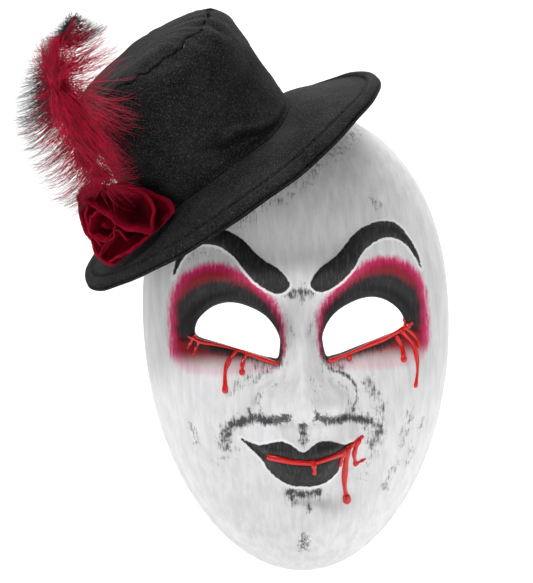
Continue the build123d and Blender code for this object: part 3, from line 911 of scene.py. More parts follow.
def brimSections():
    # the two felts sandwich the foam, and meet in a stitched groove and a rolled hem
    foot = hatForm["footInset"]
    topSide = [(i, 0.0) for i in np.linspace(foot, 8.5, 14)]
    topSide += [(8.0, 0.45), (7.3, 0.25), (6.8, -0.5), (6.3, -1.2), (5.8, -0.6), (5.1, 0.45), (4.0, 1.0)]
    topSide += [(2.6, 0.95), (1.3, 0.45), (0.5, -0.3), (0.1, -1.1), (0.6, -1.7), (1.5, -1.85), (4.0, -1.7)]
    topSide += [(6.3, -1.9), (6.9, -1.25)]
    under = [(i, -1.17) for i in np.linspace(8.0, foot, 10)]
    lowTop = [(i, -2.43) for i in np.linspace(foot, 8.0, 10)]
    lowTop += [(6.95, -2.3), (6.3, -2.0), (4.0, -1.85), (1.6, -2.0), (0.6, -1.95), (0.0, -2.3)]
    lowTop += [(-0.25, -2.9), (0.1, -3.5), (1.0, -3.9), (2.6, -4.05), (4.6, -3.85), (5.7, -3.4)]
    lowTop += [(6.3, -3.05), (6.9, -3.4), (8.0, -3.6)]
    lowUnder = [(i, -3.62) for i in np.linspace(9.0, foot, 14)]
    return topSide + under, lowTop + lowUnder


upperSection, lowerSection = brimSections()
makeBrimLayer("brimTopFelt", upperSection, "brim_top_felt")
makeBrimLayer("brimUnderFelt", lowerSection, "brim_under_felt")
print("brim ready")


# dents and folds of the soft crown: angle, height, half width (radians), half height (mm), depth
crownDents = [
    (-2.05, 64, 0.2, 5.5, 3.2), (-2.35, 66, 0.16, 4, 1.8), (-1.62, 66, 0.13, 3.0, -1.4),
    (-1.5, 60, 0.16, 3.0, -1.0), (-1.8, 58, 0.2, 3.0, -0.9), (-1.0, 68, 0.035, 5.5, 1.5),
    (-1.12, 66, 0.06, 5, -0.7), (-1.85, 70, 0.05, 4, 1.2), (-1.38, 69, 0.05, 4, 1.1),
    (-0.62, 67, 0.07, 5, 1.0), (-0.3, 66, 0.1, 5, 1.2), (0.8, 67, 0.09, 6, 1.5), (1.7, 64, 0.12, 6, 1.8),
    (2.6, 68, 0.1, 5, 1.5), (-2.75, 65, 0.12, 6, 1.6), (-0.8, 30, 0.3, 16, 0.9), (-1.9, 34, 0.3, 14, 0.8),
]


def turnFrom(start, angle):
    return (angle - start + math.pi) % (2 * math.pi) - math.pi


def seamJag(angle):
    # the hand-sewn seam steps in and out
    wide = noise.noise(Vector((2.3 * math.cos(angle), 2.3 * math.sin(angle), 4.0)))
    tight = noise.noise(Vector((8.5 * math.cos(angle), 8.5 * math.sin(angle), 9.0)))
    return 1.4 * wide + 2.1 * tight


def seamLevel(angle):
    return seamBase + 1.1 * seamJag(angle)


def crownShape(angle, h):
    # radius of the felt crown: rounded shoulder, gathers under the seam, sags and dents
    radius = hatForm["crownRadius"] - hatForm["taperPerMm"] * h
    shoulder = max(0.0, h - (seamBase - 12)) / 12
    radius -= hatForm["shoulder"] * shoulder**2.2
    gather = 0.3 * math.sin(23 * angle + 0.4) + 0.6 * math.sin(5 * angle)
    gather -= 0.9 * abs(math.sin(8.5 * angle + 0.7))
    radius += float(smoothStep(seamBase - 20, seamBase - 2, h)) * (gather + 0.5)
    place = Vector((math.cos(angle) * 1.5, math.sin(angle) * 1.5, h * 0.032))
    radius += 1.5 * noise.noise(place) + 0.7 * noise.noise(place * 2.9) + 0.2 * noise.noise(place * 9)
    for at, level, width, tall, deep in crownDents:
        radius -= deep * math.exp(-((turnFrom(at, angle) / width) ** 2 + ((h - level) / tall) ** 2))
    # pucker where the wall folds over the brim at the front
    turn = turnFrom(-1.3, angle)
    above = h - (10 - 17 * turn + 1.2 * math.sin(14 * angle))
    crease = 2.3 * math.exp(-((above / 1.7) ** 2)) - 1.3 * math.exp(-(((above - 4.5) / 2.6) ** 2))
    radius -= math.exp(-((turn / 0.36) ** 4)) * crease
    return radius - 0.9 * math.exp(-(((h - 2.0) / 2.0) ** 2))


def crownRow(h, inset, lift):
    # one ring of the wall; h counts from the brim (0) to the seam (1)
    row = []
    for angle in ringTurns(hatForm["columns"]):
        top = seamLevel(angle)
        radius = crownShape(angle, h * top) - inset
        u, w = radius * math.cos(angle), radius * math.sin(angle)
        foot = brimLevel(u, w)
        row.append(hatPoint(u, w, foot + h * (top - foot) + lift) * mm)
    return row


def tipRow(s, drop):
    # one ring of the tip: s runs from the middle (0) to the seam (1)
    row = []
    for angle in ringTurns(hatForm["columns"]):
        radius = (crownShape(angle, seamLevel(angle)) - 1.0) * s
        u, w = radius * math.cos(angle), radius * math.sin(angle)
        sag = 1.6 * noise.noise(Vector((u * 0.03, w * 0.03, 3.1)))
        sag += 0.8 * noise.noise(Vector((u * 0.08, w * 0.08, 8.7)))
        ripple = 0.4 * math.sin(19 * angle) + 0.3 * math.sin(31 * angle + 1.0)
        gather = float(smoothStep(0.65, 1.0, s)) * ripple
        dome = (hatForm["seamDrop"] - 1.2) * (1 - s**5)
        level = seamLevel(angle) * s**3 + seamBase * (1 - s**3) + dome
        row.append(hatPoint(u, w, level + sag * (1 - s**4) + gather * 0.6 + drop) * mm)
    return row


def crownPiece(name, rows, loop, material, node):
    # rings joined to one closed skin; a disc has its two middles closed
    columns = len(rows[0])
    faces = gridFaces(len(rows), columns, True, True) if loop else tubeFaces(len(rows), columns)
    piece = addPiece(name, [p for row in rows for p in row], faces, material)
    outwardNormals(piece)
    settle(piece, node)


def makeCrown():
    wall = hatForm["crownWall"]
    heights = [*np.linspace(0, 0.12, 10), *np.linspace(0.14, 0.62, 22), *np.linspace(0.64, 1.0, 34)]
    # outside, rolled top edge, seam allowance under the tip, inside
    edge = [(0.4, 0.5), (0.9, 0.2), (1.2, -0.8), (wall, -2.4)]
    edge += [(wall + 1.6, -3.0), (wall + 1.6, -3.8), (wall, -4.2)]
    rows = [crownRow(h, 0.0, 0.0) for h in heights] + [crownRow(1.0, *place) for place in edge]
    rows += [crownRow(h, wall, 0.0) for h in heights[-9::-3]]
    crownPiece("crownSideFelt", rows, True, feltMaterial, "crown_side_felt")
    cardHeights = np.linspace(0.0, 0.92, 40)
    rows = [crownRow(h, wall + 0.15, 0.0) for h in cardHeights]
    rows += [crownRow(h, wall + 1.1, 0.0) for h in cardHeights[::-1]]
    crownPiece("crownSideCard", rows, True, cardMaterial, "crown_stiffener")
    section = [(s, 0.0) for s in np.linspace(0.02, 0.93, 34)]
    section += [(0.945, 0.35), (0.957, 0.0), (0.961, -0.9), (0.955, -1.8), (0.925, -2.4)]
    section += [(s, -2.2) for s in np.linspace(0.86, 0.02, 14)]
    rows = [tipRow(*place) for place in section]
    crownPiece("crownTipFelt", rows, False, feltMaterial, "crown_tip_felt")
    shares = np.linspace(0.02, 0.91, 20)
    rows = [tipRow(s, -2.35) for s in shares] + [tipRow(s, -3.3) for s in shares[::-1]]
    crownPiece("crownTipCard", rows, False, cardMaterial, "tip_stiffener")


makeCrown()
print("crown ready")


# Stitches and fibres by geometry nodes

def newTree(name, inputs):
    tree = bpy.data.node_groups.new(name, "GeometryNodeTree")
    tree.interface.new_socket("Geometry", in_out="INPUT", socket_type="NodeSocketGeometry")
    keys = {}
    for label, kind, value in inputs:
        socket = tree.interface.new_socket(label, in_out="INPUT", socket_type=kind)
        if value is not None:
            socket.default_value = value
        keys[label] = socket.identifier
    tree.interface.new_socket("Geometry", in_out="OUTPUT", socket_type="NodeSocketGeometry")
    work = Shader(tree)
    return tree, work, work.node("NodeGroupInput").outputs, work.node("NodeGroupOutput").inputs, keys


def endTree(work, made, given, result):
    # one mesh of its own, in the material asked for
    real = work.node("GeometryNodeRealizeInstances", {"Geometry": made}).outputs["Geometry"]
    cover = work.node("GeometryNodeSetMaterial", {"Geometry": real, "Material": given["Material"]})
    work.link(cover.outputs["Geometry"], result["Geometry"])


def growPiece(name, host, tree, keys, values):
    # runs a tree on a host mesh and keeps the result as a plain mesh
    piece = bpy.data.objects.new(name, host)
    bpy.context.scene.collection.objects.link(piece)
    grower = piece.modifiers.new("grow", "NODES")
    grower.node_group = tree
    for label, value in values.items():
        grower[keys[label]] = value
    bakeModifiers(piece)
    smoothFaces(piece)
    return piece


def ringMesh(name, points):
    mesh = bpy.data.meshes.new(name)
    mesh.from_pydata([tuple(p) for p in points], [(i, (i + 1) % len(points)) for i in range(len(points))], [])
    return mesh


def stitchTree():
    # short rounded stitches laid end to end along a path
    inputs = [
        ("Stitch Gap", "NodeSocketFloat", 0.004), ("Stitch Length", "NodeSocketFloat", 0.003),
        ("Thread Radius", "NodeSocketFloat", 0.0003), ("Material", "NodeSocketMaterial", None),
    ]
    tree, work, given, result, keys = newTree("stitchRow", inputs)
    curve = work.node("GeometryNodeMeshToCurve", {"Mesh": given["Geometry"]}).outputs["Curve"]
    spacing = {"Curve": curve, "Length": given["Stitch Gap"]}
    spots = work.node("GeometryNodeCurveToPoints", spacing, mode="LENGTH").outputs
    thread = work.node("GeometryNodeMeshUVSphere", {"Segments": 6, "Rings": 5, "Radius": 1.0})
    girth = given["Thread Radius"]
    reach = work.times(given["Stitch Length"], 0.5)
    size = work.node("ShaderNodeCombineXYZ", {"X": girth, "Y": girth, "Z": reach})
    place = work.node("GeometryNodeInstanceOnPoints", {
        "Points": spots["Points"], "Instance": thread.outputs["Mesh"],
        "Rotation": spots["Rotation"], "Scale": size.outputs["Vector"],
    })
    endTree(work, place.outputs["Instances"], given, result)
    return tree, keys


stitchRow, stitchKeys = stitchTree()


def makeStitches(name, node, spotAt, gap, length, radius):
    path = [hatPoint(*spotAt(angle)) * mm for angle in ringTurns(360)]
    values = {
        "Stitch Gap": gap * mm, "Stitch Length": length * mm,
        "Thread Radius": radius * mm, "Material": threadMaterial,
    }
    piece = growPiece(name, ringMesh(name + "Path", path), stitchRow, stitchKeys, values)
    settle(piece, node)


def hemSpot(angle):
    inset = hatForm["stitchInset"]
    u, w = ovalPoint(angle, inset)
    return u, w, brimLevel(u, w) - 0.72 + brimWave(angle, inset)


def seamSpot(angle):
    radius = crownShape(angle, seamLevel(angle)) - 1.9
    return radius * math.cos(angle), radius * math.sin(angle), seamLevel(angle) - 1.3


makeStitches("brimStitches", "brim_topstitch", hemSpot, 4.2, 3.2, 0.32)
makeStitches("crownSeamStitches", "crown_seam_thread", seamSpot, 3.4, 3.0, 0.4)
print("stitches ready")


# Rose

roseForm = {"cloth": 0.55, "across": 30, "along": 18, "curlRows": 6, "brimGap": 3.0}
# ring, number, lip points (across, up, height), foot (across, up), radius of the folded lip
rosePetals = [
    ("outer", 1, [
        (1.8, 12.2, 9), (19.7, 7.3, 9), (28.1, 1.6, 8), (29.5, -6.2, 8),
        (26.2, -14.6, 8), (17.4, -20.1, 9), (7.7, -24.2, 10),
    ], (2, -4), 2.6),
    ("outer", 2, [
        (-3.2, 12.4, 14), (6.6, 13.2, 14), (17.3, 9.3, 15), (23.0, 1.1, 16), (21.5, -9.9, 17),
    ], (-2, -3), 1.5),
    ("outer", 3, [(-22.0, 6.2, 11), (-19.6, 11.0, 12), (-10.4, 14.0, 13), (-0.8, 12.8, 13)], (-4, 0), 1.6),
    ("outer", 4, [(-22.0, 8.7, 9), (-22.5, 0.9, 9), (-21.2, -7.0, 9), (-17.5, -14.9, 10)], (-5, -4), 1.6),
    ("outer", 5, [
        (-18.6, -12.8, 9), (-15.2, -19.8, 10), (-10.0, -24.5, 11), (-3.2, -26.0, 12), (3.9, -23.1, 12),
    ], (-5, -7), 1.8),
    ("middle", 1, [
        (-15.5, 7.5, 17), (-7.1, 2.4, 18), (0.1, -1.6, 19), (7.6, -7.8, 19), (20.2, -11.3, 17),
    ], (5, 5), 1.0),
    ("middle", 2, [(21.7, -11.0, 15), (14.3, -15.8, 16), (4.4, -20.5, 16), (-6.1, -25.0, 14)], (3, -4), 1.3),
    ("middle", 3, [(-12.9, -22.5, 13), (-6.1, -15.6, 17), (1.9, -9.0, 18), (7.0, -14.4, 17)], (-5, -14), 0.8),
    ("middle", 4, [(-13.2, 5.2, 15), (-16.1, -2.1, 15), (-14.6, -9.9, 15), (-9.2, -16.4, 15)], (-6, -4), 1.0),
    ("inner", 1, [(-12.3, -1.0, 17), (-6.7, 1.6, 18), (-0.4, -1.6, 18), (1.7, -7.7, 18)], (-7, -5), 0.7),
    ("inner", 2, [(1.7, -7.7, 18), (-1.0, -12.6, 18), (-6.6, -13.9, 17), (-11.9, -10.8, 16)], (-7, -5), 0.7),
    ("inner", 3, [(-12.8, -12.0, 16), (-14.3, -6.3, 16), (-12.3, -0.6, 17)], (-7, -5), 0.7),
]


def velvetMaterial(name, deep, bright, sheen):
    material, shader = newMaterial(name, {
        "Sheen Weight": sheen, "Sheen Roughness": 0.35,
        "Sheen Tint": (1.0, 0.03, 0.10), "Specular IOR Level": 0.08,
    })
    nap = shader.nap(deep, bright, 1500.0, 0.55)
    # painted shade: each petal darkens towards its foot deep in the rose and lightens towards its lip
    paintedLipLight = shader.ramp(shader.attribute("petalRise"), 0.05, 0.8)
    brushed = shader.ramp(shader.noise(shader.objectPoint(), 130, 3, 0.6), 0.3, 0.7, 0.35, 1.0)
    tone = shader.mix(shader.times(paintedLipLight, brushed), nap["Color"], bright)
    # painted highlight: lighter red along the folded lip and the sides of each petal
    frayed = shader.times(shader.ramp(shader.attribute("lipEdge"), 0.965, 0.998), 0.35)
    normal = shader.bump(nap["Height"], 0.6, 0.0004)
    return dress(material, shader, shader.mix(frayed, tone, (0.50, 0.03, 0.06)), nap["Roughness"], normal)


# deep red ground, and a brighter red for the flecks and for the painted light towards the petal lips
velvet = velvetMaterial("roseVelvet", (0.022, 0.0, 0.002), (0.30, 0.001, 0.019), 0.12)


def roseFrame():
    # middle and facing of the rose, from its flat round base
    base = frame["nodes"]["rose_base"].data
    points = np.array([v.co for v in base.vertices]) / mm
    axis = np.linalg.svd(points - points.mean(0), full_matrices=False)[2][2]
    axis = axis if axis[1] < 0 else -axis
    right = np.cross((0, 0, 1), axis)
    right /= np.linalg.norm(right) if right[0] > 0 else -np.linalg.norm(right)
    up = np.cross(axis, right)
    level = points @ axis
    middle = points[np.abs(level - level.max()) < 0.05].mean(0)
    return middle, right, up if up[2] > 0 else -up, axis


roseCentre, roseRight, roseUp, roseAxis = roseFrame()


def rosePoint(a, b, h):
    return (roseCentre + roseRight * a + roseUp * b + roseAxis * h) * mm


def aboveBrim(point):
    # cloth that would sink into the brim lies on it instead
    offset = point / mm - hatSeat
    u, w, h = offset @ hatSide, offset @ hatBack, offset @ hatAxis
    if (u / hatForm["halfLength"]) ** 2 + (w / hatForm["halfWidth"]) ** 2 > 1.02:
        return point
    return point + hatAxis * max(0.0, brimLevel(u, w) + roseForm["brimGap"] - h) * mm


def makePetal(ring, number, lip, foot, curl):
    # a leaf of cloth from its foot to its lip, bellied outwards, with the lip folded back
    name = f"rose_{ring}_petal_{number}"
    across, along, curlRows = roseForm["across"], roseForm["along"], roseForm["curlRows"]
    foot = np.array(foot, float)
    verts, edgeValue, riseValue = [], [], []
    rows = along + curlRows
    for j in range(rows):
        t = min(1.0, j / (along - 1))
        fold = max(0, j - along + 1) / curlRows
        for i, (a, b, h) in enumerate(roundCurve(lip, across)):
            side = abs(2 * i / (across - 1) - 1)
            out = np.array((a, b)) - foot
            reach = max(np.linalg.norm(out), 1e-6)
            out /= reach
            run = ((1 - t) ** 2 * 0.16 + 2 * t * (1 - t) * 1.04 + t * t) * reach
            rise = (1 - t) ** 2 * 0.5 + 2 * t * (1 - t) * 0.40 * h + t * t * h
            bent = 2.6 * fold
            turnBack = 0.75 * curl * (1 - 0.5 * side**4)
            run += turnBack * (1 - math.cos(bent)) * 0.8
            rise += turnBack * math.sin(bent) * 0.6 - turnBack * 0.5 * fold
            run += noise.noise(Vector((a * 0.16, b * 0.16, t * 2.4 + number))) * (0.3 + 0.8 * t)
            run += 0.22 * t * math.sin(0.75 * (a + b) + 2.0 * number) + 0.12 * t * math.sin(1.9 * (a - b))
            rise += 0.7 * t * noise.noise(Vector((a * 0.2, b * 0.2, number + 5.0)))
            verts.append(aboveBrim(rosePoint(*(foot + out * run), max(rise, 0.3))))
            edgeValue.append(max(j / (rows - 1), 0.985 * side))
            riseValue.append(t)
    piece = addPiece(name.replace("_", "") + "Cloth", verts, gridFaces(rows, across), velvet)
    # lipEdge carries the painted highlight along the lip, petalRise the painted shade at the foot
    storeValue(piece, "lipEdge", edgeValue)
    storeValue(piece, "petalRise", riseValue)
    thicken(piece, roseForm["cloth"], 0)
    bakeModifiers(piece)
    smoothFaces(piece)
    settle(piece, name)


def makeBud():
    # a strip of cloth rolled up on itself, closed at its top
    rows, columns = 26, 64
    verts = []
    for b in np.linspace(0, 1, rows):
        for turn in ringTurns(columns):
            radius = 5.4 * math.sin(math.pi * (0.16 + 0.80 * b)) ** 0.7 * (1 - 0.2 * b)
            radius *= 1 + 0.12 * math.sin(3 * turn + 5 * b) + 0.07 * math.sin(7 * turn - 6 * b)
            shift = 0.45 + 0.55 * b
            place = -7 * shift + radius * math.cos(turn), -6.2 * shift + radius * math.sin(turn)
            verts.append(rosePoint(*place, 0.4 + 14.5 * b))
    bud = addPiece("roseBudCloth", verts, tubeFaces(rows, columns), velvet)
    outwardNormals(bud)
    # the bud gets no painted highlight and a fixed share of the painted shade
    storeValue(bud, "lipEdge", [0.0] * len(bud.data.vertices))
    storeValue(bud, "petalRise", [0.3] * len(bud.data.vertices))
    settle(bud, "rose_bud")


for petal in rosePetals:
    makePetal(*petal)
makeBud()
print("rose ready")


# Feathers

plumeForm = {"facing": 235.0, "lean": 18.0}
plumeJoint = [joint for joint in frame["joints"] if joint["name"] == "plume_sway"][0]
plumeRoot = np.array(plumeJoint["pos_m"]) / mm
plumeOut = np.array(plumeJoint["axis"])


def plumeFrame():
    # the plume's plane leans back from the crown's own lean towards upright
    facing, lean = math.radians(plumeForm["facing"]), math.radians(plumeForm["lean"])
    tangent = hatBack * math.cos(facing) - hatSide * math.sin(facing)
    across = tangent * math.cos(lean) - hatAxis * math.sin(lean)
    return across, hatAxis * math.cos(lean) + tangent * math.sin(lean)


plumeAcross, plumeAlong = plumeFrame()


def plumeVector(a, b, out):
    return a * plumeAcross + b * plumeAlong + out * plumeOut


def plumePoint(a, b, out):
    return plumeRoot + plumeVector(a, b, out)


def barbTree():
    # every host point grows one tapered, gently curved barb
    inputs = [
        ("Segments", "NodeSocketInt", 8), ("Barb Radius", "NodeSocketFloat", 0.00016),
        ("Tip Share", "NodeSocketFloat", 0.25), ("Wander", "NodeSocketFloat", 0.002),
        ("Seed", "NodeSocketInt", 3), ("Material", "NodeSocketMaterial", None),
    ]
    tree, work, given, result, keys = newTree("barbs", inputs)
    segments = given["Segments"]
    line = work.node("GeometryNodeCurvePrimitiveLine", {"End": (0, 0, 0.0001)}).outputs["Curve"]
    points = work.node("GeometryNodeResampleCurve", {"Curve": line, "Count": segments}, mode="COUNT")
    place = {"Points": given["Geometry"], "Instance": points.outputs["Curve"]}
    grown = work.node("GeometryNodeInstanceOnPoints", place).outputs["Instances"]
    real = work.node("GeometryNodeRealizeInstances", {"Geometry": grown}).outputs["Geometry"]
    index = work.node("GeometryNodeInputIndex").outputs["Index"]
    along = work.over(work.math("MODULO", index, segments), work.minus(segments, 1.0))
    number = work.math("FLOOR", work.over(work.plus(index, 0.01), segments))
    arch = work.times(along, work.minus(1.0, along))
    reach = work.scaled(work.stored("barbReach", "FLOAT_VECTOR"), along)
    bend = work.scaled(work.stored("barbBend", "FLOAT_VECTOR"), work.times(arch, 4.0))
    path = work.vector("ADD", reach, bend)
    # each barb wanders in its own direction, and all of them drift together in clumps
    span = {"Min": (-1, -1, -1), "Max": (1, 1, 1), "ID": number, "Seed": given["Seed"]}
    own = work.node("FunctionNodeRandomValue", span, data_type="FLOAT_VECTOR").outputs["Value"]
    spot = work.node("GeometryNodeInputPosition").outputs["Position"]
    grain = {"Vector": work.vector("ADD", spot, path), "Scale": 210.0, "Detail": 2.0}
    drift = work.node("ShaderNodeTexNoise", grain).outputs["Color"]
    centred = work.vector("SUBTRACT", drift, (0.5, 0.5, 0.5))
    loose = work.times(given["Wander"], work.math("POWER", along, 1.5))
    stray = work.vector("ADD", work.scaled(own, loose), work.scaled(centred, work.times(loose, 5.0)))
    moved = {"Geometry": real, "Offset": work.vector("ADD", path, stray)}
    moved = work.node("GeometryNodeSetPosition", moved).outputs["Geometry"]
    kept = {"Name": "alongBarb", "Geometry": moved, "Value": along}
    kept = work.node("GeometryNodeStoreNamedAttribute", kept, data_type="FLOAT", domain="POINT")
    ring = work.node("GeometryNodeCurvePrimitiveCircle", {"Resolution": 3, "Radius": 1.0}).outputs["Curve"]
    thin = {"Value": work.stored("alongBarb", "FLOAT"), "To Min": 1.0, "To Max": given["Tip Share"]}
    thin = work.node("ShaderNodeMapRange", thin).outputs["Result"]
    skin = work.node("GeometryNodeCurveToMesh", {
        "Curve": kept.outputs["Geometry"], "Profile Curve": ring,
        "Fill Caps": True, "Scale": work.times(thin, given["Barb Radius"]),
    })
    endTree(work, skin.outputs["Mesh"], given, result)
    return tree, keys


barbMaker, barbKeys = barbTree()


def featherMaterial(name, root, tip, tipFrom, tipTo, sheenTint):
    material, shader = newMaterial(name, {
        "Sheen Weight": 0.25, "Sheen Roughness": 0.4, "Sheen Tint": sheenTint, "Specular IOR Level": 0.3,
    })
    streak = shader.noise(shader.objectPoint(), 260, 3, 0.6)
    along = shader.plus(shader.attribute("alongBarb"), shader.attribute("tipShade"))
    dark = shader.ramp(along, tipFrom, tipTo)
    dull, vivid = tuple(0.55 * v for v in root), tuple(1.25 * v for v in root)
    bright = shader.mix(shader.ramp(streak, 0.35, 0.7), dull, vivid)
    return dress(material, shader, shader.mix(dark, bright, tip), shader.ramp(streak, 0.3, 0.7, 0.5, 0.75))


blackBarb = featherMaterial(
    "blackFeather", (0.012, 0.012, 0.013), (0.045, 0.045, 0.048), 0.4, 1.1, (0.8, 0.8, 0.85)
)
redBarb = featherMaterial(
    "crimsonFeather", (0.62, 0.001, 0.045), (0.04, 0.004, 0.007), 0.75, 1.25, (1, 0.1, 0.2)
)

# root spine of each feather and where its barbs end, in the plume's own plane (across, along)
plumeShape = {
    "spine": [(9, -10), (6, -2), (2.3, 12), (-1.3, 26), (-1.5, 38), (2, 50), (8, 59), (15, 68), (24, 76)],
    "leftTips": [
        (-20, -33), (-27, -24), (-31, -13), (-34, -1), (-33, 12), (-30, 25),
        (-26, 37), (-19, 47), (-9, 58), (5, 69),
        (24, 80),
    ],
    "rightTips": [
        (22, -8), (24, 2), (27, 14), (29, 27), (36, 38), (42, 46), (49, 56), (50, 63), (41, 68), (33, 72),
        (26, 78),
    ],
}


def lineAt(points, share):
    track = np.array(points, float)
    spot = share * (len(track) - 1)
    i = min(int(spot), len(track) - 2)
    return track[i] + (track[i + 1] - track[i]) * (spot - i)


def barbHost(name, barbs):
    # barbs: root, reach, bend (3-D, mm) and how dark its tip is
    mesh = bpy.data.meshes.new(name)
    mesh.from_pydata([tuple(b[0] * mm) for b in barbs], [], [])
    for label, place in (("barbReach", 1), ("barbBend", 2)):
        layer = mesh.attributes.new(label, "FLOAT_VECTOR", "POINT")
        layer.data.foreach_set("vector", np.array([b[place] * mm for b in barbs], np.float32).ravel())
    layer = mesh.attributes.new("tipShade", "FLOAT", "POINT")
    layer.data.foreach_set("value", np.array([b[3] for b in barbs], np.float32))
    return mesh


def spreadBarbs(count, side, low, high, lengthRange, out, droop, shade):
    # barbs from the spine to the tip line of one side, over part of the feather
    barbs = []
    tips = plumeShape["leftTips" if side < 0 else "rightTips"]
    for _ in range(count):
        share = low + (high - low) * dice.random()
        rootAB = lineAt(plumeShape["spine"], np.clip(share + 0.02 * dice.normal(), 0, 1))
        tipAB = lineAt(tips, np.clip(share + 0.03 * dice.normal(), 0, 1))
        reach = (tipAB - rootAB) * dice.uniform(*lengthRange)
        lift = out[0] + (out[1] - out[0]) * dice.random()
        root = plumePoint(*rootAB, lift * 0.35 + 0.6 * dice.normal())
        vector = plumeVector(*reach, lift * 0.65)
        normal = np.array((-reach[1], reach[0])) * side * droop * dice.uniform(0.5, 1.2)
        bend = plumeVector(*normal, dice.uniform(0, 1.6))
        barbs.append((root, vector, bend, shade + 0.12 * dice.normal()))
    return barbs


def tuftBarbs(count, centre, reachRange, aim, spread, shade):
    # a loose burst of barbs from one spot
    barbs = []
    for _ in range(count):
        turn = aim + spread * dice.normal()
        length = dice.uniform(*reachRange)
        jitter = 2.2 * dice.normal(), 3.0 * dice.normal(), dice.normal()
        root = plumePoint(*(np.array(centre) + jitter))
        reach = plumeVector(math.cos(turn) * length, math.sin(turn) * length, dice.uniform(0, 5))
        bend = plumeVector(dice.normal(), dice.normal(), 1.2) * 0.09 * length
        barbs.append((root, reach, bend, shade + 0.15 * dice.normal()))
    return barbs


def makeFeather(name, node, barbs, material, radius, wander, seed):
    values = {
        "Segments": 8, "Barb Radius": radius * mm, "Tip Share": 0.2,
        "Wander": wander * mm, "Seed": seed, "Material": material,
    }
    piece = growPiece(name, barbHost(name + "Roots", barbs), barbMaker, barbKeys, values)
    settle(piece, node, "plume")
    print(name, len(piece.data.polygons), "faces")


blackBarbs = spreadBarbs(560, -1, 0.42, 1.0, (0.82, 1.08), (-1, 2), -0.12, 0.2)
blackBarbs += spreadBarbs(420, -1, 0.45, 0.98, (0.35, 0.8), (-2, 1), -0.07, 0.0)
blackBarbs += spreadBarbs(330, 1, 0.78, 1.0, (0.7, 1.02), (-2, 0.5), -0.10, 0.2)
blackBarbs += spreadBarbs(170, -1, 0.0, 0.45, (0.8, 1.0), (-2, 0), -0.06, 0.3)
makeFeather("blackFeather", "black_feather_vane", blackBarbs, blackBarb, 0.13, 0.55, 5)
redBarbs = spreadBarbs(330, -1, 0.0, 0.52, (0.75, 1.06), (0, 2), -0.13, 0.25)
redBarbs += spreadBarbs(360, -1, 0.0, 0.60, (0.25, 0.6), (0, 3), -0.12, 0.0)
redBarbs += spreadBarbs(110, -1, 0.5, 0.9, (0.25, 0.55), (1, 3), -0.06, 0.0)
redBarbs += spreadBarbs(170, 1, 0.45, 1.0, (0.55, 1.0), (1, 4), -0.12, 0.1)
redBarbs += spreadBarbs(150, 1, 0.2, 0.7, (0.3, 0.7), (1, 4), -0.10, -0.1)
redBarbs += tuftBarbs(520, (5, 46, 3.5), (8, 26), 1.25, 0.32, -0.4)
redBarbs += tuftBarbs(620, (4, 40, 4), (26, 52), -1.22, 0.13, -0.35)
redBarbs += tuftBarbs(110, (8, 44, 5), (26, 46), -0.75, 0.26, -0.1)
redBarbs += tuftBarbs(90, (9, 50, 5), (28, 46), 0.35, 0.22, 0.1)
redBarbs += tuftBarbs(260, (10, -9, 3), (6, 24), -0.15, 0.7, 0.05)
redBarbs += tuftBarbs(320, (5, 8, 2.5), (8, 22), -1.2, 0.5, -0.1)
makeFeather("crimsonFeather", "crimson_feather_vane", redBarbs, redBarb, 0.15, 0.6, 9)


def makeQuill(name, node, lift, material, end):
    # tapered shaft that follows the feather's curve
    spine = roundCurve(plumeShape["spine"], 60)[: int(60 * end)]
    columns = 10
    verts = []
    for k, (a, b) in enumerate(spine):
        ahead = spine[min(k + 1, len(spine) - 1)] - spine[max(k - 1, 0)]
        ahead = ahead / np.linalg.norm(ahead)
        radius = 0.75 - 0.6 * k / (len(spine) - 1)
        for turn in ringTurns(columns):
            side = radius * math.cos(turn)
            rise = lift + 0.8 * radius * math.sin(turn)
            verts.append(plumePoint(a - ahead[1] * side, b + ahead[0] * side, rise) * mm)
    quill = addPiece(name, verts, tubeFaces(len(spine), columns), material)
    outwardNormals(quill)
    settle(quill, node, "plume")


shaftStretch, shaftRough, shaftCoat = (900, 900, 120), (0.35, 0.55), {"Coat Weight": 0.15}
blackShaft = brushedMaterial(
    "blackShaft", (0.01, 0.01, 0.01), (0.05, 0.05, 0.05), shaftStretch, shaftRough, shaftCoat
)
crimsonShaft = brushedMaterial(
    "crimsonShaft", (0.15, 0.0, 0.02), (0.4, 0.01, 0.05), shaftStretch, shaftRough, shaftCoat
)
makeQuill("blackQuill", "black_feather_quill", -0.6, blackShaft, 1.0)
makeQuill("crimsonQuill", "crimson_feather_quill", 2.6, crimsonShaft, 0.85)


def makeBinding():
    # black thread wound round the two shafts
    winds, columns, perWind = 11, 48, 8
    rows = winds * perWind
    verts = []
    for r in range(rows + 1):
        b = -4.8 + 9.0 * r / rows
        ease = math.sin(math.pi * r / rows) ** 0.25 if 0 < r < rows else 0.35
        ridge = 0.28 * abs(math.sin(math.pi * r / perWind))
        for turn in ringTurns(columns):
            a = 2.5 - 0.25 * b + (2.5 * ease + ridge) * math.cos(turn)
            verts.append(plumePoint(a, b, 1.6 + (3.0 * ease + ridge) * math.sin(turn)) * mm)
    binding = addPiece("plumeBindingThread", verts, tubeFaces(rows + 1, columns), threadMaterial)
    outwardNormals(binding)
    settle(binding, "plume_binding", "plume")


makeBinding()
print("plume ready")


# Head strap

# the line's left half is the mirror of its right half
strapForm = {
    "halfPath": [(67, 14), (65.5, -12), (58, -50), (38, -86), (0, -104)],
    "width": 10.0, "thickness": 1.4, "pivotY": -9.0, "pinHole": 2.0, "step": 1.1,
    "edgeRound": 0.3, "ribPitch": 0.95, "weftPitch": 0.62,
}


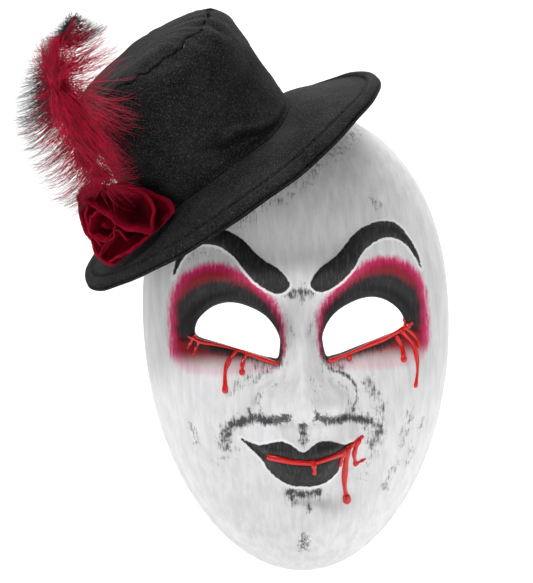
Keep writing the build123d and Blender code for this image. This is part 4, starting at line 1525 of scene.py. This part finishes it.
def strapLine(count):
    # smooth line through the path, upright at both ends
    right = strapForm["halfPath"]
    points = np.array(right + [(-x, z) for x, z in right[-2::-1]], float)
    gaps = np.linalg.norm(np.diff(points, axis=0), axis=1)
    n = len(points)
    rows, aims = np.zeros((n, n)), np.zeros((n, 2))
    rows[0, 0] = rows[-1, -1] = 1
    aims[0], aims[-1] = (0, -1), (0, 1)
    for i in range(1, n - 1):
        rows[i, i - 1], rows[i, i], rows[i, i + 1] = gaps[i], 2 * (gaps[i - 1] + gaps[i]), gaps[i - 1]
        before, after = (points[i] - points[i - 1]) / gaps[i - 1], (points[i + 1] - points[i]) / gaps[i]
        aims[i] = 3 * (gaps[i] * before + gaps[i - 1] * after)
    slopes = np.linalg.solve(rows, aims)
    dense = []
    for i in range(n - 1):
        for t in np.linspace(0, 1, 60, endpoint=False):
            a, b, c, d = 2 * t**3 - 3 * t**2 + 1, t**3 - 2 * t**2 + t, -2 * t**3 + 3 * t**2, t**3 - t**2
            near = a * points[i] + b * gaps[i] * slopes[i]
            dense.append(near + c * points[i + 1] + d * gaps[i] * slopes[i + 1])
    dense.append(points[-1])
    dense = np.array(dense)
    travel = np.concatenate([[0], np.cumsum(np.linalg.norm(np.diff(dense, axis=0), axis=1))])
    even = np.linspace(0, travel[-1], count)
    return np.stack([np.interp(even, travel, dense[:, k]) for k in (0, 1)], 1), travel[-1]


def webbingMaterial():
    # woven elastic: ribs across and a fine weft
    material, shader = newMaterial("strapElastic", {"Sheen Weight": 0.15})
    ribTurn, weftTurn = 2 * math.pi / strapForm["ribPitch"], 2 * math.pi / strapForm["weftPitch"]
    ribs = shader.math("SINE", shader.times(shader.attribute("acrossStrap"), ribTurn))
    picks = shader.math("SINE", shader.times(shader.attribute("alongStrap"), weftTurn))
    weave = shader.times(ribs, picks)
    worn = shader.noise(shader.objectPoint(), 800, 3, 0.6)
    tone = shader.ramp(shader.plus(shader.times(weave, 0.25), worn), 0.3, 0.85)
    colour = shader.mix(tone, (0.008, 0.008, 0.009), (0.075, 0.075, 0.08))
    height = shader.plus(shader.times(ribs, 0.5), shader.times(weave, 0.35))
    rough = shader.ramp(worn, 0.3, 0.7, 0.7, 0.9)
    return dress(material, shader, colour, rough, shader.bump(height, 0.6, 0.0003))


def strapPlan(length):
    # flat strap with round ends and a pin hole near each, as points, edges and a test for waste
    half, hole = strapForm["width"] / 2, strapForm["pinHole"]
    points = []
    for centre, start in ((0, math.pi / 2), (length, -math.pi / 2)):
        arc = [start + math.pi * k / 24 for k in range(25)]
        points += [(centre + half * math.cos(t), half * math.sin(t)) for t in arc]
    fixed = [(k, (k + 1) % len(points)) for k in range(len(points))]
    for centre in (0, length):
        start = len(points)
        points += [(centre + hole * math.cos(t), hole * math.sin(t)) for t in np.arange(20) * math.pi / 10]
        fixed += [(start + k, start + (k + 1) % 20) for k in range(20)]
    for s in np.arange(-half, length + half, strapForm["step"]):
        for v in np.linspace(-half, half, 10):
            outside = math.hypot(min(s, 0) + max(s - length, 0), v) > half - 0.3 and not (0 < s < length)
            near = min(math.hypot(s, v), math.hypot(s - length, v)) < hole + 0.4
            if not outside and not near:
                points.append((s, v))
    flat, _, triangles, _, _, _ = geometry.delaunay_2d_cdt([Vector(p) for p in points], fixed, [], 1, 1e-4)
    plan = np.array([(v.x, v.y) for v in flat])
    s, v = np.array([(plan[a] + plan[b] + plan[c]) / 3 for a, b, c in triangles]).T
    inHole = np.minimum(np.hypot(s, v), np.hypot(s - length, v)) < hole * 0.98
    past = np.hypot(np.minimum(s, 0) + np.maximum(s - length, 0), v) > half
    return plan, [t for t, cut in zip(triangles, inHole | past) if not cut]


def makeStrap():
    line, length = strapLine(600)
    plan, faces = strapPlan(length)
    even = np.linspace(0, length, len(line))
    inside = np.clip(plan[:, 0], 0, length)
    x, z = np.interp(inside, even, line[:, 0]), np.interp(inside, even, line[:, 1])
    z = z + np.maximum(-plan[:, 0], 0) + np.maximum(plan[:, 0] - length, 0)
    verts = np.stack([x, strapForm["pivotY"] + plan[:, 1], z], 1) * mm
    strap = addPiece("elasticStrap", verts, faces, webbingMaterial())
    storeValue(strap, "alongStrap", plan[:, 0])
    storeValue(strap, "acrossStrap", plan[:, 1])
    thicken(strap, strapForm["thickness"], 0)
    edge = strap.modifiers.new("edge", "BEVEL")
    edge.width = strapForm["edgeRound"] * mm
    edge.segments = 2
    edge.limit_method = "ANGLE"
    edge.angle_limit = math.radians(60)
    bakeModifiers(strap)
    outwardNormals(strap)
    smoothFaces(strap)
    settle(strap, "head_strap", "strap")


makeStrap()
print("strap ready")


# Finishes of the parts that keep their own shape

glueFinish = grainMaterial(
    "hotGlue", (0.62, 0.58, 0.48), (0.80, 0.77, 0.68), 400, (0.3, 0.45), (400, 3, 0.6, 0.3, 0.0002)
)
tabFinish = grainMaterial(
    "tabPlastic", (0.62, 0.61, 0.59), (0.76, 0.75, 0.73), 900, (0.42, 0.57), (900, 3, 0.6, 0.3, 0.0002)
)
clipFinish = grainMaterial(
    "blackClip", (0.012, 0.012, 0.013), (0.045, 0.045, 0.047), 900, (0.4, 0.55), (900, 3, 0.6, 0.3, 0.0002)
)
pinFinish = brushedMaterial(
    "pinSteel", (0.42, 0.42, 0.43), (0.68, 0.68, 0.69), (150, 2400, 2400), (0.22, 0.42), {"Metallic": 1.0}
)
nodeFinish = {
    "brim_foam_core": foamMaterial, "hat_glue": glueFinish, "plume_holder": clipFinish, "rose_base": velvet,
    "strap_pin_left": pinFinish, "strap_pin_right": pinFinish,
    "strap_tab_left": tabFinish, "strap_tab_right": tabFinish,
}
for node, finishMaterial in nodeFinish.items():
    for slot in frame["nodes"][node].material_slots:
        slot.material = finishMaterial
print("finishes ready")

bpy.context.view_layer.update()
